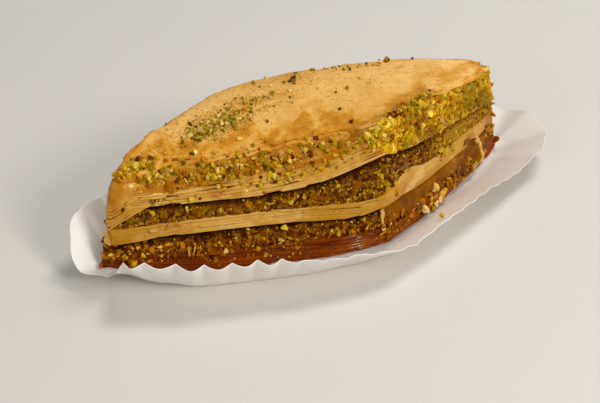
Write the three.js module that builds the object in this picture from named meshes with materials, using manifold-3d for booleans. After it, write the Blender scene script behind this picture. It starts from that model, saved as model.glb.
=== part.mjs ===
// Baklava piece: a diamond-cut stack of three pastry layers with two chopped-nut fillings between
// them, in the opened-out fluted paper case it is served in.
// Millimetres, +Z up. +X runs along the front cut side and the origin is on the table, under the
// middle of the whole piece.
import * as THREE from "three";
import { mergeVertices } from "three/addons/utils/BufferGeometryUtils.js";
import Module from "manifold-3d";

const wasm = await Module();
wasm.setup();

// ---------------------------------------------------------------- driving dimensions
// The plan is a parallelogram A-B-C-D: A and C are its long thin tips, B and D its blunt corners.
const FRONT_SIDE = 72.3;                            // cut side A-B
const RIGHT_SIDE = 62.2;                            // cut side B-C
const TIP_ANGLE = THREE.MathUtils.degToRad(42.6);   // angle at A and C
const FOOT_TIP_ROUNDING = 60;                       // sharp tips at the foot; higher is sharper
const CROWN_TIP_ROUNDING = 7;                       // blunt tips at the top
const TIP_LEAN = { A: 4.0, C: 7.0 };                // how far the tips step back up to the top
const FOOT_REACH = 2.2;                             // how far the bottom pastry pokes out at tip A
const BLUNT_ROUNDING = 14;                          // corners B and D
const CORNER_EASE = 0.35;                           // how much closer the points stand at the corners
const SIDE_SPREAD = [2.3, 1.2, 1.5, 1.5];           // how far each side's middle spreads at its foot
const STACK_HEIGHT = 36;
const SPREAD_HEIGHT = 14;

const TIP_LIFT = 3.6;                               // rise of the underside at both tips
const REST_ZONE = 0.6;                              // share of the long diagonal that lies flat
const PAPER = 0.35;                                 // thickness of the paper
const CLEARANCE = 0.3;                              // gap between neighbouring solids

// Heights over the underside plane at the corners, the middles of the sides and the centre.
const MIDDLE_FOOT = {
  A: 9.2, AB: 10.8, B: 9.5, BC: 10.2, C: 11.3, CD: 11.0, D: 11.0, DA: 10.8, mid: 11.0,
};
const MIDDLE_TOP = {
  A: 13.4, AB: 14.4, B: 13.8, BC: 14.8, C: 14.6, CD: 15.4, D: 15.4, DA: 15.0, mid: 15.4,
};
const CROWN_FOOT = {
  A: 20.3, AB: 19.3, B: 23.0, BC: 21.8, C: 17.6, CD: 20.0, D: 19.8, DA: 19.8, mid: 20.4,
};
const CROWN_TOP = {
  A: 25.6, AB: 28.2, B: 37.2, BC: 33.6, C: 29.2, CD: 32.2, D: 29.6, DA: 32.2, mid: 34.6,
};
const FOOT_THICKNESS = 5.0;                         // bottom pastry
const BLUNT_SWELL = 4.0;                            // extra filling that lifts the crown at corner B
const SWELL_REACH = 0.35;                           // in units of (p, q)

// The crown's front edge is broken: outside a crack its sheets have slid down a few millimetres.
const SHOULDER_WIDTH = 5.0;
const SHOULDER_DROP = 3.2;
const SHOULDER_RUN = [-1, -0.45, 0.62, 0.95];       // p where it starts, is full, is full still, ends
const CRACK_STEP = 0.9;
const CRACK_INSET = 0.3;                            // from the crack to the shoulder's full width

const SHEET_RELIEF = 0.32;                          // how far single pastry sheets stand proud
const FILLING_RECESS = 0.7;                         // how far the fillings sit back from the cut
const FILLING_LUMPS = 0.5;                          // unevenness of a filling's cut side
const WOBBLE = 0.55;                                // slow unevenness of the cut sides
const NUT_SIZES = [1.8, 3.6];
const NUTS = 34;                                    // in each filling, round the whole piece
const BARE_TIP = 0.8;                               // no nuts past this p * q, close to the tips

// Paper case: base outline, then the wall, given at stations round the case (0 = tip A, 0.25 = B,
// 0.5 = tip C, 0.75 = D).
const BASE_MARGIN = 1.6;                            // base beyond the food's sides
const SLACK = [[0, 0], [0.045, 0], [0.08, 4], [0.1, 5.8], [0.16, 5.6], [0.2, 4], [0.25, 0.6], [0.3, 0],
  [0.86, 0], [0.92, 1.5], [0.98, 0]];               // extra base beyond the margin
const BASE_ROUNDING = 7;
const FLUTES = 50;
const WALL_LENGTH = [[0, 5.5], [0.012, 3.5], [0.042, 3.5], [0.06, 15], [0.12, 15.5], [0.25, 13.5],
  [0.4, 14.5], [0.5, 15.5], [0.9, 16], [0.95, 15], [0.968, 9.5], [0.985, 7]];
const WALL_TILT = [[0, 9], [0.042, 12], [0.06, 44], [0.075, 51], [0.125, 52], [0.19, 45], [0.25, 31],
  [0.3, 37], [0.36, 34], [0.42, 24], [0.48, 22], [0.52, 18], [0.58, 62], [0.75, 70], [0.925, 62],
  [0.953, 56], [0.978, 22], [0.987, 14]];
const FLUTE_DEPTH = [[0, 0.15], [0.042, 0.15], [0.06, 1.1], [0.14, 1.1], [0.165, 0.3], [0.25, 0.12],
  [0.42, 0.12], [0.47, 0.9], [0.54, 1.0], [0.6, 1.2], [0.93, 1.2], [0.975, 0.2]];

// Mesh fineness.
const POINTS_ROUND = 60;
const POINTS_PER_FLUTE = 4;
const FLAT_RINGS = [0.93, 0.5];                     // rings of a layer's face, as shares of its outline
const LIFTED_RINGS = [0.93, 0.8, REST_ZONE];        // the same where the face follows the lifted tips
const SWOLLEN_RINGS = [0.93, 0.8, 0.62, 0.3];       // the same under the swell at corner B
const CROWN_RINGS = [0.96, 0.9, 0.82, 0.72, 0.4];

const FINISH = {
  bottom_pastry: { color: 0x7a3a10, roughness: 0.35 },
  lower_filling: { color: 0x96611a, roughness: 0.6 },
  middle_pastry: { color: 0xcfa257, roughness: 0.55 },
  upper_filling: { color: 0x8a6418, roughness: 0.65 },
  top_pastry: { color: 0xdfae67, roughness: 0.7 },
  paper_case: { color: 0xe9e4dc, roughness: 0.8 },
};

// ---------------------------------------------------------------- small helpers
const { clamp, lerp, smoothstep } = THREE.MathUtils;

// Seeded random numbers, 0 to 1.
function seededRandom(seed) {
  let state = seed;
  return () => {
    state = (state + 0x6d2b79f5) | 0;
    let mixed = Math.imul(state ^ (state >>> 15), 1 | state);
    mixed = (mixed + Math.imul(mixed ^ (mixed >>> 7), 61 | mixed)) ^ mixed;
    return ((mixed ^ (mixed >>> 14)) >>> 0) / 4294967296;
  };
}

// A slow closed wave round the piece: a few sines with seeded phases, about -1 to 1.
function slowWave(seed, frequencies = [3, 5, 8, 13]) {
  const random = seededRandom(seed);
  const phases = frequencies.map(() => 2 * Math.PI * random());
  return (turn) => {
    const waves = frequencies.map((f, i) => Math.sin(2 * Math.PI * f * turn + phases[i]));
    return waves.reduce((total, wave) => total + wave, 0) / frequencies.length;
  };
}

// A value given at stations round the case, eased from each station to the next.
function around(stations) {
  return (turn) => {
    const t = ((turn % 1) + 1) % 1;
    const next = stations.findIndex(([at]) => at > t);
    const [t0, v0] = stations[(next === -1 ? stations.length : next) - 1];
    const [t1, v1] = next === -1 ? [1, stations[0][1]] : stations[next];
    return v0 + (v1 - v0) * smoothstep(t, t0, t1);
  };
}

// ---------------------------------------------------------------- plan of the piece
// (p, q) run from -1 to 1: p along the front side, q from the front side to the back.
function planPoint(p, q) {
  const lean = RIGHT_SIDE * Math.cos(TIP_ANGLE);
  const depth = RIGHT_SIDE * Math.sin(TIP_ANGLE);
  return new THREE.Vector2(0.5 * (p * FRONT_SIDE + q * lean), 0.5 * q * depth);
}

// The (p, q) of a plan point.
function planShare(point) {
  const q = point.y / planPoint(0, 1).y;
  return { p: (point.x - q * planPoint(0, 1).x) / planPoint(1, 0).x, q };
}

// (p, q) on the edge of the rounded square at a turn 0..1, counter-clockwise from tip A.
function rim(turn, tipRounding = FOOT_TIP_ROUNDING, bluntRounding = BLUNT_ROUNDING) {
  const t = 4 * (((turn % 1) + 1) % 1);
  const side = Math.floor(t);
  const straight = 2 * (t - side) - 1;
  const along = straight * (1 + CORNER_EASE * (1 - straight * straight));
  const [p, q] = [[along, -1], [1, along], [-along, 1], [-1, -along]][side];
  const power = p * q > 0 ? tipRounding : bluntRounding;
  const scale = (Math.abs(p) ** power + Math.abs(q) ** power) ** (-1 / power);
  return { p: p * scale, q: q * scale, along, side };
}

// Unit vector out of a closed plan curve at a turn.
function outward(curve, turn) {
  const ahead = curve(turn + 0.004);
  const behind = curve(turn - 0.004);
  return new THREE.Vector2(ahead.y - behind.y, behind.x - ahead.x).normalize();
}

// The food's plain outline at a turn.
function outline(turn) {
  const { p, q } = rim(turn);
  return planPoint(p, q);
}

// Plan point of the cut side at a turn and height, `proud` mm outside the plain cut. The sides
// spread at the foot and the tips get blunter towards the top.
function cutSide(turn, height, proud = 0) {
  const share = clamp(height / STACK_HEIGHT, 0, 1);
  const rounding = 1 / lerp(1 / FOOT_TIP_ROUNDING, 1 / CROWN_TIP_ROUNDING, share);
  const { p, q, along, side } = rim(turn, rounding);
  const foot = (1 - clamp(height / SPREAD_HEIGHT, 0, 1)) ** 1.5;
  const spread = SIDE_SPREAD[side] * foot * (1 - along * along);
  const tip = Math.max(0, p * q) ** 2;
  const reach = p < 0 ? FOOT_REACH * foot * tip ** 4 : 0;
  const lean = (p < 0 ? TIP_LEAN.A : TIP_LEAN.C) * tip * share ** 1.5;
  return planPoint(p, q)
    .multiplyScalar(1 - (lean - reach) / planPoint(1, 1).length())
    .addScaledVector(outward(outline, turn), spread + proud);
}

// ---------------------------------------------------------------- heights of the layers
// Biquadratic surface through nine heights.
function surface(v) {
  return (p, q) => {
    const across = [(p * (p - 1)) / 2, 1 - p * p, (p * (p + 1)) / 2];
    const front = across[0] * v.A + across[1] * v.AB + across[2] * v.B;
    const middle = across[0] * v.DA + across[1] * v.mid + across[2] * v.BC;
    const back = across[0] * v.D + across[1] * v.CD + across[2] * v.C;
    return front * ((q * (q - 1)) / 2) + middle * (1 - q * q) + back * ((q * (q + 1)) / 2);
  };
}

// The underside lies flat in the middle and rises towards both tips.
function tipRise(p, q) {
  const along = Math.abs(p + q) / 2;
  return TIP_LIFT * (Math.max(0, along - REST_ZONE) / (1 - REST_ZONE)) ** 2;
}

const FOOD_FLOOR = PAPER + CLEARANCE;
const middleFoot = surface(MIDDLE_FOOT);
const middleTop = surface(MIDDLE_TOP);
const crownFootSurface = surface(CROWN_FOOT);
const crownTopSurface = surface(CROWN_TOP);

function crownFoot(p, q) {
  const nearB = Math.hypot(1 - p, 1 + q);
  return crownFootSurface(p, q) + BLUNT_SWELL * Math.exp(-((nearB / SWELL_REACH) ** 2));
}

// Distance in mm from the front cut side.
function fromFront(q) {
  return 0.5 * (q + 1) * RIGHT_SIDE * Math.sin(TIP_ANGLE);
}

// The crown's top: a dome, less the shoulder that has slid down in front of the crack.
function crownTop(p, q) {
  const depth = fromFront(q);
  const [start, full, stillFull, end] = SHOULDER_RUN;
  const reach = smoothstep(p, start, full) * (1 - smoothstep(p, stillFull, end));
  const slide = 1 - smoothstep(depth, 0, SHOULDER_WIDTH);
  const step = depth < SHOULDER_WIDTH - CRACK_INSET ? CRACK_STEP : 0;
  return crownTopSurface(p, q) - reach * (SHOULDER_DROP * slide + step);
}

const LEVEL = {
  food_foot: (p, q) => FOOD_FLOOR + tipRise(p, q),
  bottom_pastry_top: (p, q) => FOOD_FLOOR + tipRise(p, q) + FOOT_THICKNESS,
  middle_foot: (p, q) => FOOD_FLOOR + middleFoot(p, q),
  middle_top: (p, q) => FOOD_FLOOR + middleTop(p, q),
  crown_foot: (p, q) => FOOD_FLOOR + crownFoot(p, q),
  crown_top: (p, q) => FOOD_FLOOR + crownTop(p, q),
};

// ---------------------------------------------------------------- closed solids from rings
// Triangles between two closed rings of any number of points, lower ring `a` and upper ring `b`.
// It walks both rings together and steps whichever is behind.
function stitch(faces, a, b) {
  const point = (ring, i) => ring.start + (i % ring.count);
  let i = 0;
  let j = 0;
  while (i < a.count || j < b.count) {
    if (j === b.count || (i < a.count && (i + 1) / a.count <= (j + 1) / b.count)) {
      if (a.count > 1) faces.push(point(a, i), point(a, i + 1), point(b, j));
      i += 1;
    } else {
      if (b.count > 1) faces.push(point(a, i), point(b, j + 1), point(b, j));
      j += 1;
    }
  }
}

// A closed surface from a chain of rings, bottom pole to top pole, each ring counter-clockwise seen
// from above. The first and the last ring are single points.
function solidFromRings(rings) {
  const positions = [];
  const faces = [];
  const placed = rings.map((ring) => {
    const start = positions.length / 3;
    ring.forEach((point) => positions.push(point.x, point.y, point.z));
    return { start, count: ring.length };
  });
  for (let r = 0; r + 1 < placed.length; r += 1) stitch(faces, placed[r], placed[r + 1]);
  const geometry = new THREE.BufferGeometry();
  geometry.setAttribute("position", new THREE.Float32BufferAttribute(positions, 3));
  geometry.setIndex(faces);
  return geometry;
}

// One layer between two height functions. `edge(turn, share)` is the relief of the cut side in mm,
// share 0 at the layer's foot and 1 at its top.
function layer({ foot, top, rows, edge, footRings, topRings }) {
  const turns = Array.from({ length: POINTS_ROUND }, (_, i) => i / POINTS_ROUND);
  const between = ({ p, q }, share) => lerp(foot(p, q), top(p, q), share);
  const sideRow = (share) => turns.map((turn) => {
    const plan = cutSide(turn, between(rim(turn), share), edge(turn, share));
    return new THREE.Vector3(plan.x, plan.y, between(planShare(plan), share));
  });
  const cap = (edgeRow, height) => (k) => edgeRow.map((point) => {
    const plan = new THREE.Vector2(point.x * k, point.y * k);
    const { p, q } = planShare(plan);
    return new THREE.Vector3(plan.x, plan.y, height(p, q));
  });
  const side = Array.from({ length: rows + 1 }, (_, row) => sideRow(row / rows));
  const footCap = cap(side[0], foot);
  const topCap = cap(side[rows], top);
  return solidFromRings([
    [new THREE.Vector3(0, 0, foot(0, 0))],
    ...footRings.slice().reverse().map(footCap),
    ...side,
    ...topRings.map(topCap),
    [new THREE.Vector3(0, 0, top(0, 0))],
  ]);
}

// Relief of a pastry layer's cut side: thin sheets standing proud and set back in turn.
function sheetEdge(rows, seed) {
  const waves = Array.from({ length: rows + 1 }, (_, row) => slowWave(seed + 7 * row, [4, 7, 11, 17]));
  const slow = slowWave(seed);
  return (turn, share) => {
    const row = Math.round(share * rows);
    const proud = row % 2 === 0 ? -SHEET_RELIEF : SHEET_RELIEF;
    return proud + SHEET_RELIEF * waves[row](turn) + WOBBLE * slow(turn);
  };
}

// Relief of a filling's cut side: set back, lumpy.
function lumpyEdge(seed) {
  const lumps = slowWave(seed, [11, 17, 23, 29]);
  return (turn, share) => -FILLING_RECESS + FILLING_LUMPS * lumps(turn + 0.13 * share);
}

// ---------------------------------------------------------------- joining
function toManifold(geometry) {
  const bare = geometry.clone();
  bare.deleteAttribute("normal");
  bare.deleteAttribute("uv");
  const merged = mergeVertices(bare, 1e-5);
  return new wasm.Manifold(new wasm.Mesh({
    numProp: 3,
    vertProperties: new Float32Array(merged.attributes.position.array),
    triVerts: new Uint32Array(merged.index.array),
  }));
}

function toGeometry(manifold) {
  const mesh = manifold.getMesh();
  const geometry = new THREE.BufferGeometry();
  geometry.setAttribute("position", new THREE.Float32BufferAttribute(mesh.vertProperties, 3));
  geometry.setIndex(new THREE.BufferAttribute(new Uint32Array(mesh.triVerts), 1));
  return geometry;
}

// The base solid with small solids fused on. A bit that misses the base is dropped.
function fuse(base, bits) {
  const whole = bits.reduce((sum, bit) => sum.add(toManifold(bit)), toManifold(base));
  const bodies = whole.decompose().sort((a, b) => b.volume() - a.volume());
  return toGeometry(bodies[0]);
}

// A chopped-nut bit: a jittered, stretched and turned icosahedron with flat faces, kept between the
// height functions `low` and `high`.
function nutBit(random, centre, size, low, high) {
  const round = new THREE.IcosahedronGeometry(0.5 * size).deleteAttribute("normal").deleteAttribute("uv");
  const bit = mergeVertices(round);
  const position = bit.attributes.position;
  const point = new THREE.Vector3();
  const stretch = new THREE.Vector3(0.85 + 0.5 * random(), 0.7 + 0.4 * random(), 0.65 + 0.35 * random());
  const turn = new THREE.Quaternion().setFromEuler(
    new THREE.Euler(0.5 * random(), 0.5 * random(), 2 * Math.PI * random()),
  );
  for (let i = 0; i < position.count; i += 1) {
    point.fromBufferAttribute(position, i).multiplyScalar(0.82 + 0.36 * random());
    point.multiply(stretch).applyQuaternion(turn);
    point.add(centre);
    const { p, q } = planShare(point);
    position.setXYZ(i, point.x, point.y, clamp(point.z, low(p, q), high(p, q)));
  }
  return bit;
}

// ---------------------------------------------------------------- the food's nodes
function pastry(foot, top, rows, seed, rings) {
  return layer({ foot, top, rows, edge: sheetEdge(rows, seed), footRings: rings, topRings: rings });
}

// A filling with chopped nuts showing on its cut sides.
function filling(foot, top, seed, footRings, topRings) {
  const random = seededRandom(seed);
  const low = (p, q) => foot(p, q) + CLEARANCE;
  const high = (p, q) => top(p, q) - CLEARANCE;
  const core = layer({ foot: low, top: high, rows: 2, edge: lumpyEdge(seed), footRings, topRings });
  const bits = [];
  for (let i = 0; i < NUTS; i += 1) {
    const turn = (i + 0.15 + 0.7 * random()) / NUTS;
    const { p, q } = rim(turn);
    if (p * q > BARE_TIP) continue;
    const room = high(p, q) - low(p, q);
    const size = Math.min(lerp(...NUT_SIZES, random() ** 1.5), 0.68 * room);
    const spare = room - 1.35 * size;
    const z = low(p, q) + 0.5 * room + (random() - 0.5) * Math.max(0, spare);
    const plan = cutSide(turn, z, 0.06 * size - FILLING_RECESS);
    bits.push(nutBit(random, new THREE.Vector3(plan.x, plan.y, z), size, low, high));
  }
  return fuse(core, bits);
}

// The crown: the thick top pastry with pistachio crumbs lying on it and down its sides.
function crown() {
  const rows = 4;
  const base = layer({
    foot: LEVEL.crown_foot,
    top: LEVEL.crown_top,
    rows,
    edge: sheetEdge(rows, 91),
    footRings: SWOLLEN_RINGS,
    topRings: CROWN_RINGS,
  });
  const noCeiling = () => Infinity;
  const random = seededRandom(17);
  const crumbs = [];
  const addCrumb = (plan, z, size) => {
    const centre = new THREE.Vector3(plan.x, plan.y, z);
    crumbs.push(nutBit(random, centre, size, LEVEL.crown_foot, noCeiling));
  };
  const onTop = (count, sizes, place) => {
    for (let i = 0; i < count; i += 1) {
      const [p, q] = place();
      const size = lerp(...sizes, random() ** 2);
      addCrumb(planPoint(p, q), LEVEL.crown_top(p, q) + 0.05 * size, size);
    }
  };
  const onSide = (count, from, to, sizes) => {
    for (let i = 0; i < count; i += 1) {
      const turn = from + (to - from) * ((i + random()) / count);
      const { p, q } = rim(turn);
      const low = LEVEL.crown_foot(p, q);
      const high = LEVEL.crown_top(p, q);
      const size = lerp(...sizes, random() ** 2);
      const z = low + size + (high - low - 1.2 * size) * random();
      addCrumb(cutSide(turn, z), z, size);
    }
  };
  // A loose cluster on the left of the dome, a strip along the shoulder, and the right cut side.
  onTop(9, [1.6, 2.4], () => [-0.42 + 0.34 * (random() - 0.5), -0.3 + 0.7 * (random() - 0.5)]);
  onTop(12, [1.5, 2.6], () => [-0.85 + 1.6 * random(), -0.93 + 0.2 * random()]);
  onTop(4, [1.8, 2.6], () => [-0.1 + 1.0 * random(), 0.1 + 0.8 * random()]);
  onSide(18, 0.255, 0.47, [1.9, 3.2]);
  return fuse(base, crumbs);
}

// ---------------------------------------------------------------- the paper case
const slack = around(SLACK);
const wallLength = around(WALL_LENGTH);
const wallTilt = around(WALL_TILT);
const fluteDepth = around(FLUTE_DEPTH);

// Plan of the base before its slack.
function tightBase(turn) {
  const { p, q } = rim(turn, BASE_ROUNDING, BASE_ROUNDING);
  const growP = 1 + BASE_MARGIN / (0.5 * FRONT_SIDE * Math.sin(TIP_ANGLE));
  const growQ = 1 + BASE_MARGIN / (0.5 * RIGHT_SIDE * Math.sin(TIP_ANGLE));
  return planPoint(p * growP, q * growQ);
}

// Plan of the fold between base and wall.
function foldLine(turn) {
  return tightBase(turn).addScaledVector(outward(tightBase, turn), slack(turn));
}

// Length along the fold, measured in small steps and given as a share of the whole, with a little
// extra at the two tips where the wall fans out.
const STEPS = 1440;
const FAN_TURN = 0.03;
const FAN_EXTRA = 2.2;
const foldLength = [0];
for (let i = 0; i < STEPS; i += 1) {
  const turn = (i + 0.5) / STEPS;
  const fromTip = Math.abs(((2 * turn + 0.5) % 1) - 0.5) / 2;
  const fan = FAN_EXTRA * Math.exp(-((fromTip / FAN_TURN) ** 2));
  const step = foldLine(i / STEPS).distanceTo(foldLine((i + 1) / STEPS));
  foldLength.push(foldLength[i] + step * (1 + fan));
}

function shareOfLength(turn) {
  const place = STEPS * (((turn % 1) + 1) % 1);
  const i = Math.min(STEPS - 1, Math.floor(place));
  const length = lerp(foldLength[i], foldLength[i + 1], place - i);
  return length / foldLength[STEPS];
}

function turnAtShare(share) {
  const length = share * foldLength[STEPS];
  const i = Math.max(0, foldLength.findIndex((l) => l > length) - 1);
  return (i + (length - foldLength[i]) / (foldLength[i + 1] - foldLength[i])) / STEPS;
}

// Outer face of the wall at a turn, `share` 0 at the fold and 1 at the free edge. The flutes are a
// wave across the wall that deepens towards the free edge.
function wallPoint(turn, share, lift = 0) {
  const fold = foldLine(turn);
  const out = outward(foldLine, turn);
  const tilt = THREE.MathUtils.degToRad(wallTilt(turn));
  const along = wallLength(turn) * share;
  const wave = share * fluteDepth(turn) * Math.sin(2 * Math.PI * FLUTES * shareOfLength(turn));
  const rise = lift + wave;
  const reach = along * Math.cos(tilt) - rise * Math.sin(tilt);
  return new THREE.Vector3(
    fold.x + out.x * reach,
    fold.y + out.y * reach,
    baseHeight(turn, 1) + along * Math.sin(tilt) + rise * Math.cos(tilt),
  );
}

// Height of the base's underside on the way from the centre (share 0) to the fold (share 1).
function baseHeight(turn, share) {
  const { p, q } = planShare(foldLine(turn).multiplyScalar(share));
  return tipRise(p, q);
}

function paperCase() {
  const spaced = (count) => Array.from({ length: count }, (_, i) => turnAtShare((i + 0.5) / count));
  const wallTurns = spaced(FLUTES * POINTS_PER_FLUTE);
  const baseTurns = spaced(FLUTES);
  const basePoint = (turn, share, lift) => {
    const fold = foldLine(turn);
    return new THREE.Vector3(fold.x * share, fold.y * share, baseHeight(turn, share) + lift);
  };
  const baseRing = (lift) => (share) => {
    const turns = share === 1 ? wallTurns : baseTurns;
    return turns.map((turn) => basePoint(turn, share, lift));
  };
  const wallRing = (lift) => (share) => wallTurns.map((turn) => wallPoint(turn, share, lift));
  const outwards = [...LIFTED_RINGS.slice().reverse(), 1];
  const inwards = [1, ...LIFTED_RINGS];
  return solidFromRings([
    [new THREE.Vector3(0, 0, 0)],
    ...outwards.map(baseRing(0)),
    ...[0.5, 1].map(wallRing(0)),
    ...[1, 0.5].map(wallRing(PAPER)),
    ...inwards.map(baseRing(PAPER)),
    [new THREE.Vector3(0, 0, PAPER)],
  ]);
}

// ---------------------------------------------------------------- the whole piece
function part(name, geometry) {
  const mesh = new THREE.Mesh(geometry, new THREE.MeshStandardMaterial({ ...FINISH[name], metalness: 0 }));
  mesh.name = name;
  return mesh;
}

const baklava = new THREE.Group();
const bottomPastry = pastry(LEVEL.food_foot, LEVEL.bottom_pastry_top, 4, 11, LIFTED_RINGS);
const lowerFilling = filling(LEVEL.bottom_pastry_top, LEVEL.middle_foot, 23, LIFTED_RINGS, FLAT_RINGS);
const middlePastry = pastry(LEVEL.middle_foot, LEVEL.middle_top, 4, 37, FLAT_RINGS);
const upperFilling = filling(LEVEL.middle_top, LEVEL.crown_foot, 53, FLAT_RINGS, SWOLLEN_RINGS);
baklava.add(part("bottom_pastry", bottomPastry));
baklava.add(part("lower_filling", lowerFilling));
baklava.add(part("middle_pastry", middlePastry));
baklava.add(part("upper_filling", upperFilling));
baklava.add(part("top_pastry", crown()));
baklava.add(part("paper_case", paperCase()));

const box = new THREE.Box3().setFromObject(baklava);
baklava.position.set(-0.5 * (box.min.x + box.max.x), -0.5 * (box.min.y + box.max.y), -box.min.z);

export default baklava;
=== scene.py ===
"""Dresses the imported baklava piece: flaky pastry, chopped nuts, crumbs and a fluted paper case.

Lengths in the functions below are millimetres in the food's own plan, with the origin under its middle;
add_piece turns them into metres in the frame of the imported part.
"""

import math

import bpy
import numpy as np
from mathutils import Matrix, Vector


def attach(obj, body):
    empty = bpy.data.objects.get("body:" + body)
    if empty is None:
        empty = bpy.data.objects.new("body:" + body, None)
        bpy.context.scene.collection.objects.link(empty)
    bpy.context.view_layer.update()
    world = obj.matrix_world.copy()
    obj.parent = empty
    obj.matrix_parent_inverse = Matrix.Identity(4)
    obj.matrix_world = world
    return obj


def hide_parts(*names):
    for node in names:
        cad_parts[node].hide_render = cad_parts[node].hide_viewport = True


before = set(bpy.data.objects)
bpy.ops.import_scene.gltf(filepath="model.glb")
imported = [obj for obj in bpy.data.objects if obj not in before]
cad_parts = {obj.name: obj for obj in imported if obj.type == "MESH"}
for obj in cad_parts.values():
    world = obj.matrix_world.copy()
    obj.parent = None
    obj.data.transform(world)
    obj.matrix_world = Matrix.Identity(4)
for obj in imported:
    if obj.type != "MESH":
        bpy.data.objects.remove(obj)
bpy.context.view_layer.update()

bl_info = {
    "name": "Baklava Piece",
    "version": (1, 0, 0),
    "blender": (4, 5, 0),
    "location": "View3D > Sidebar > Baklava",
    "description": "Builds the visible surfaces of a baklava piece over its packed solids",
    "category": "Add Mesh",
}

# ---------------------------------------------------------------- sizes shared with the solids
FRONT_SIDE = 72.3
RIGHT_SIDE = 62.2
TIP_ANGLE = math.radians(42.6)
FOOT_TIP_ROUNDING = 60.0
CROWN_TIP_ROUNDING = 7.0
TIP_LEAN = {"A": 4.0, "C": 7.0}
FOOT_REACH = 2.2
BLUNT_ROUNDING = 14.0
CORNER_EASE = 0.35
SIDE_SPREAD = np.array([2.3, 1.2, 1.5, 1.5])
STACK_HEIGHT = 36.0
SPREAD_HEIGHT = 14.0
TIP_LIFT = 3.6
REST_ZONE = 0.6
FOOD_FLOOR = 0.65
MIDDLE_FOOT = dict(A=9.2, AB=10.8, B=9.5, BC=10.2, C=11.3, CD=11.0, D=11.0, DA=10.8, mid=11.0)
MIDDLE_TOP = dict(A=13.4, AB=14.4, B=13.8, BC=14.8, C=14.6, CD=15.4, D=15.4, DA=15.0, mid=15.4)
CROWN_FOOT = dict(A=20.3, AB=19.3, B=23.0, BC=21.8, C=17.6, CD=20.0, D=19.8, DA=19.8, mid=20.4)
CROWN_TOP = dict(A=25.6, AB=28.2, B=37.2, BC=33.6, C=29.2, CD=32.2, D=29.6, DA=32.2, mid=34.6)
FOOT_THICKNESS = 5.0
BLUNT_SWELL = 4.0
SWELL_REACH = 0.35
SHOULDER_WIDTH = 5.0
SHOULDER_DROP = 3.2
SHOULDER_RUN = (-1.0, -0.45, 0.62, 0.95)
MIDDLE_FOOT_LIFT = (2.2, -0.85, 0.28)      # mm, its middle in q and its reach in q
MIDDLE_TOP_LIFT = (3.8, -0.65, 0.24)
CRACK_STEP = 0.9
WOBBLE = 0.55
BASE_MARGIN = 1.6
BASE_ROUNDING = 7.0
FLUTES = 50
FAN_TURN = 0.03
FAN_EXTRA = 2.2
# Stations round the case, each a turn and a value: millimetres, and degrees in WALL_TILT.
SLACK = [[0, 0], [0.045, 0], [0.08, 4], [0.1, 5.8], [0.16, 5.6], [0.2, 4], [0.25, 0.6], [0.3, 0],
         [0.86, 0], [0.92, 1.5], [0.98, 0]]
WALL_LENGTH = [[0, 5.5], [0.012, 3.2], [0.04, 2.2], [0.06, 15], [0.12, 15.5], [0.25, 13.5], [0.4, 14.5],
               [0.5, 15.5], [0.9, 16], [0.95, 15], [0.968, 9.5], [0.985, 7]]
WALL_TILT = [[0, 9], [0.03, 12], [0.052, 44], [0.075, 51], [0.125, 52], [0.19, 45], [0.25, 31], [0.3, 37],
             [0.36, 34], [0.42, 24], [0.48, 22], [0.52, 18], [0.58, 62], [0.75, 70], [0.925, 62],
             [0.953, 56], [0.978, 22], [0.987, 14]]
FLUTE_DEPTH = [[0, 0.15], [0.042, 0.15], [0.06, 1.1], [0.14, 1.1], [0.165, 0.3], [0.25, 0.12], [0.42, 0.12],
               [0.47, 0.9], [0.54, 1.0], [0.6, 1.2], [0.93, 1.2], [0.975, 0.2]]
WAVE_SEED = {"bottom": 11, "middle": 37, "crown": 91}

PLAN_LEAN = RIGHT_SIDE * math.cos(TIP_ANGLE)
PLAN_DEPTH = RIGHT_SIDE * math.sin(TIP_ANGLE)
HALF_DIAGONAL = 0.5 * math.hypot(FRONT_SIDE + PLAN_LEAN, PLAN_DEPTH)
PLAN_SHIFT = (-3.281, 1.603)      # from the food's own origin to the frame's
MM = 0.001


# ---------------------------------------------------------------- numbers and noise
def unit(x):
    """x kept from 0 to 1."""
    return np.clip(x, 0, 1)


def smooth(x, low, high):
    """Smoothstep: 0 below low, 1 above high, 3t^2 - 2t^3 between."""
    t = unit((np.asarray(x, float) - low) / (high - low))
    return t * t * (3 - 2 * t)


def plateau(x, start, full, still_full, end):
    """Rises smoothly from 0 at start to 1 at full and falls from 1 at still_full to 0 at end."""
    return smooth(x, start, full) * (1 - smooth(x, still_full, end))


def mix(a, b, share):
    """Straight mix of a and b."""
    return a + (b - a) * share


def seeded_phases(seed, count):
    """Phases of the slow waves, from the same 32-bit generator as the solids."""
    state = seed
    phases = []
    for _ in range(count):
        state = (state + 0x6D2B79F5) & 0xFFFFFFFF
        mixed = ((state ^ (state >> 15)) * (1 | state)) & 0xFFFFFFFF
        mixed = (mixed + (((mixed ^ (mixed >> 7)) * (61 | mixed)) & 0xFFFFFFFF)) & 0xFFFFFFFF ^ mixed
        phases.append(2 * math.pi * ((mixed ^ (mixed >> 14)) & 0xFFFFFFFF) / 4294967296)
    return phases


def wander(layer, turn):
    """How far a layer's cut side wanders in and out, as on its solid: the mean of four sines of whole
    frequencies round the piece, times WOBBLE."""
    phases = seeded_phases(WAVE_SEED[layer], 4)
    return WOBBLE * sum(np.sin(2 * np.pi * f * turn + a) for f, a in zip((3, 5, 8, 13), phases)) / 4


def lattice(ix, iy, iz, seed):
    """A number from 0 to 1 for each whole point, by mixing its bits."""
    h = (ix * 73856093) ^ (iy * 19349663) ^ (iz * 83492791) ^ (seed * 2654435761)
    h &= 0xFFFFFFFF
    h = ((h ^ (h >> 13)) * 1274126177) & 0xFFFFFFFF
    h = ((h ^ (h >> 15)) * 2246822519) & 0xFFFFFFFF
    return ((h ^ (h >> 16)) & 0xFFFFFF) / float(0xFFFFFF)


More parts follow.
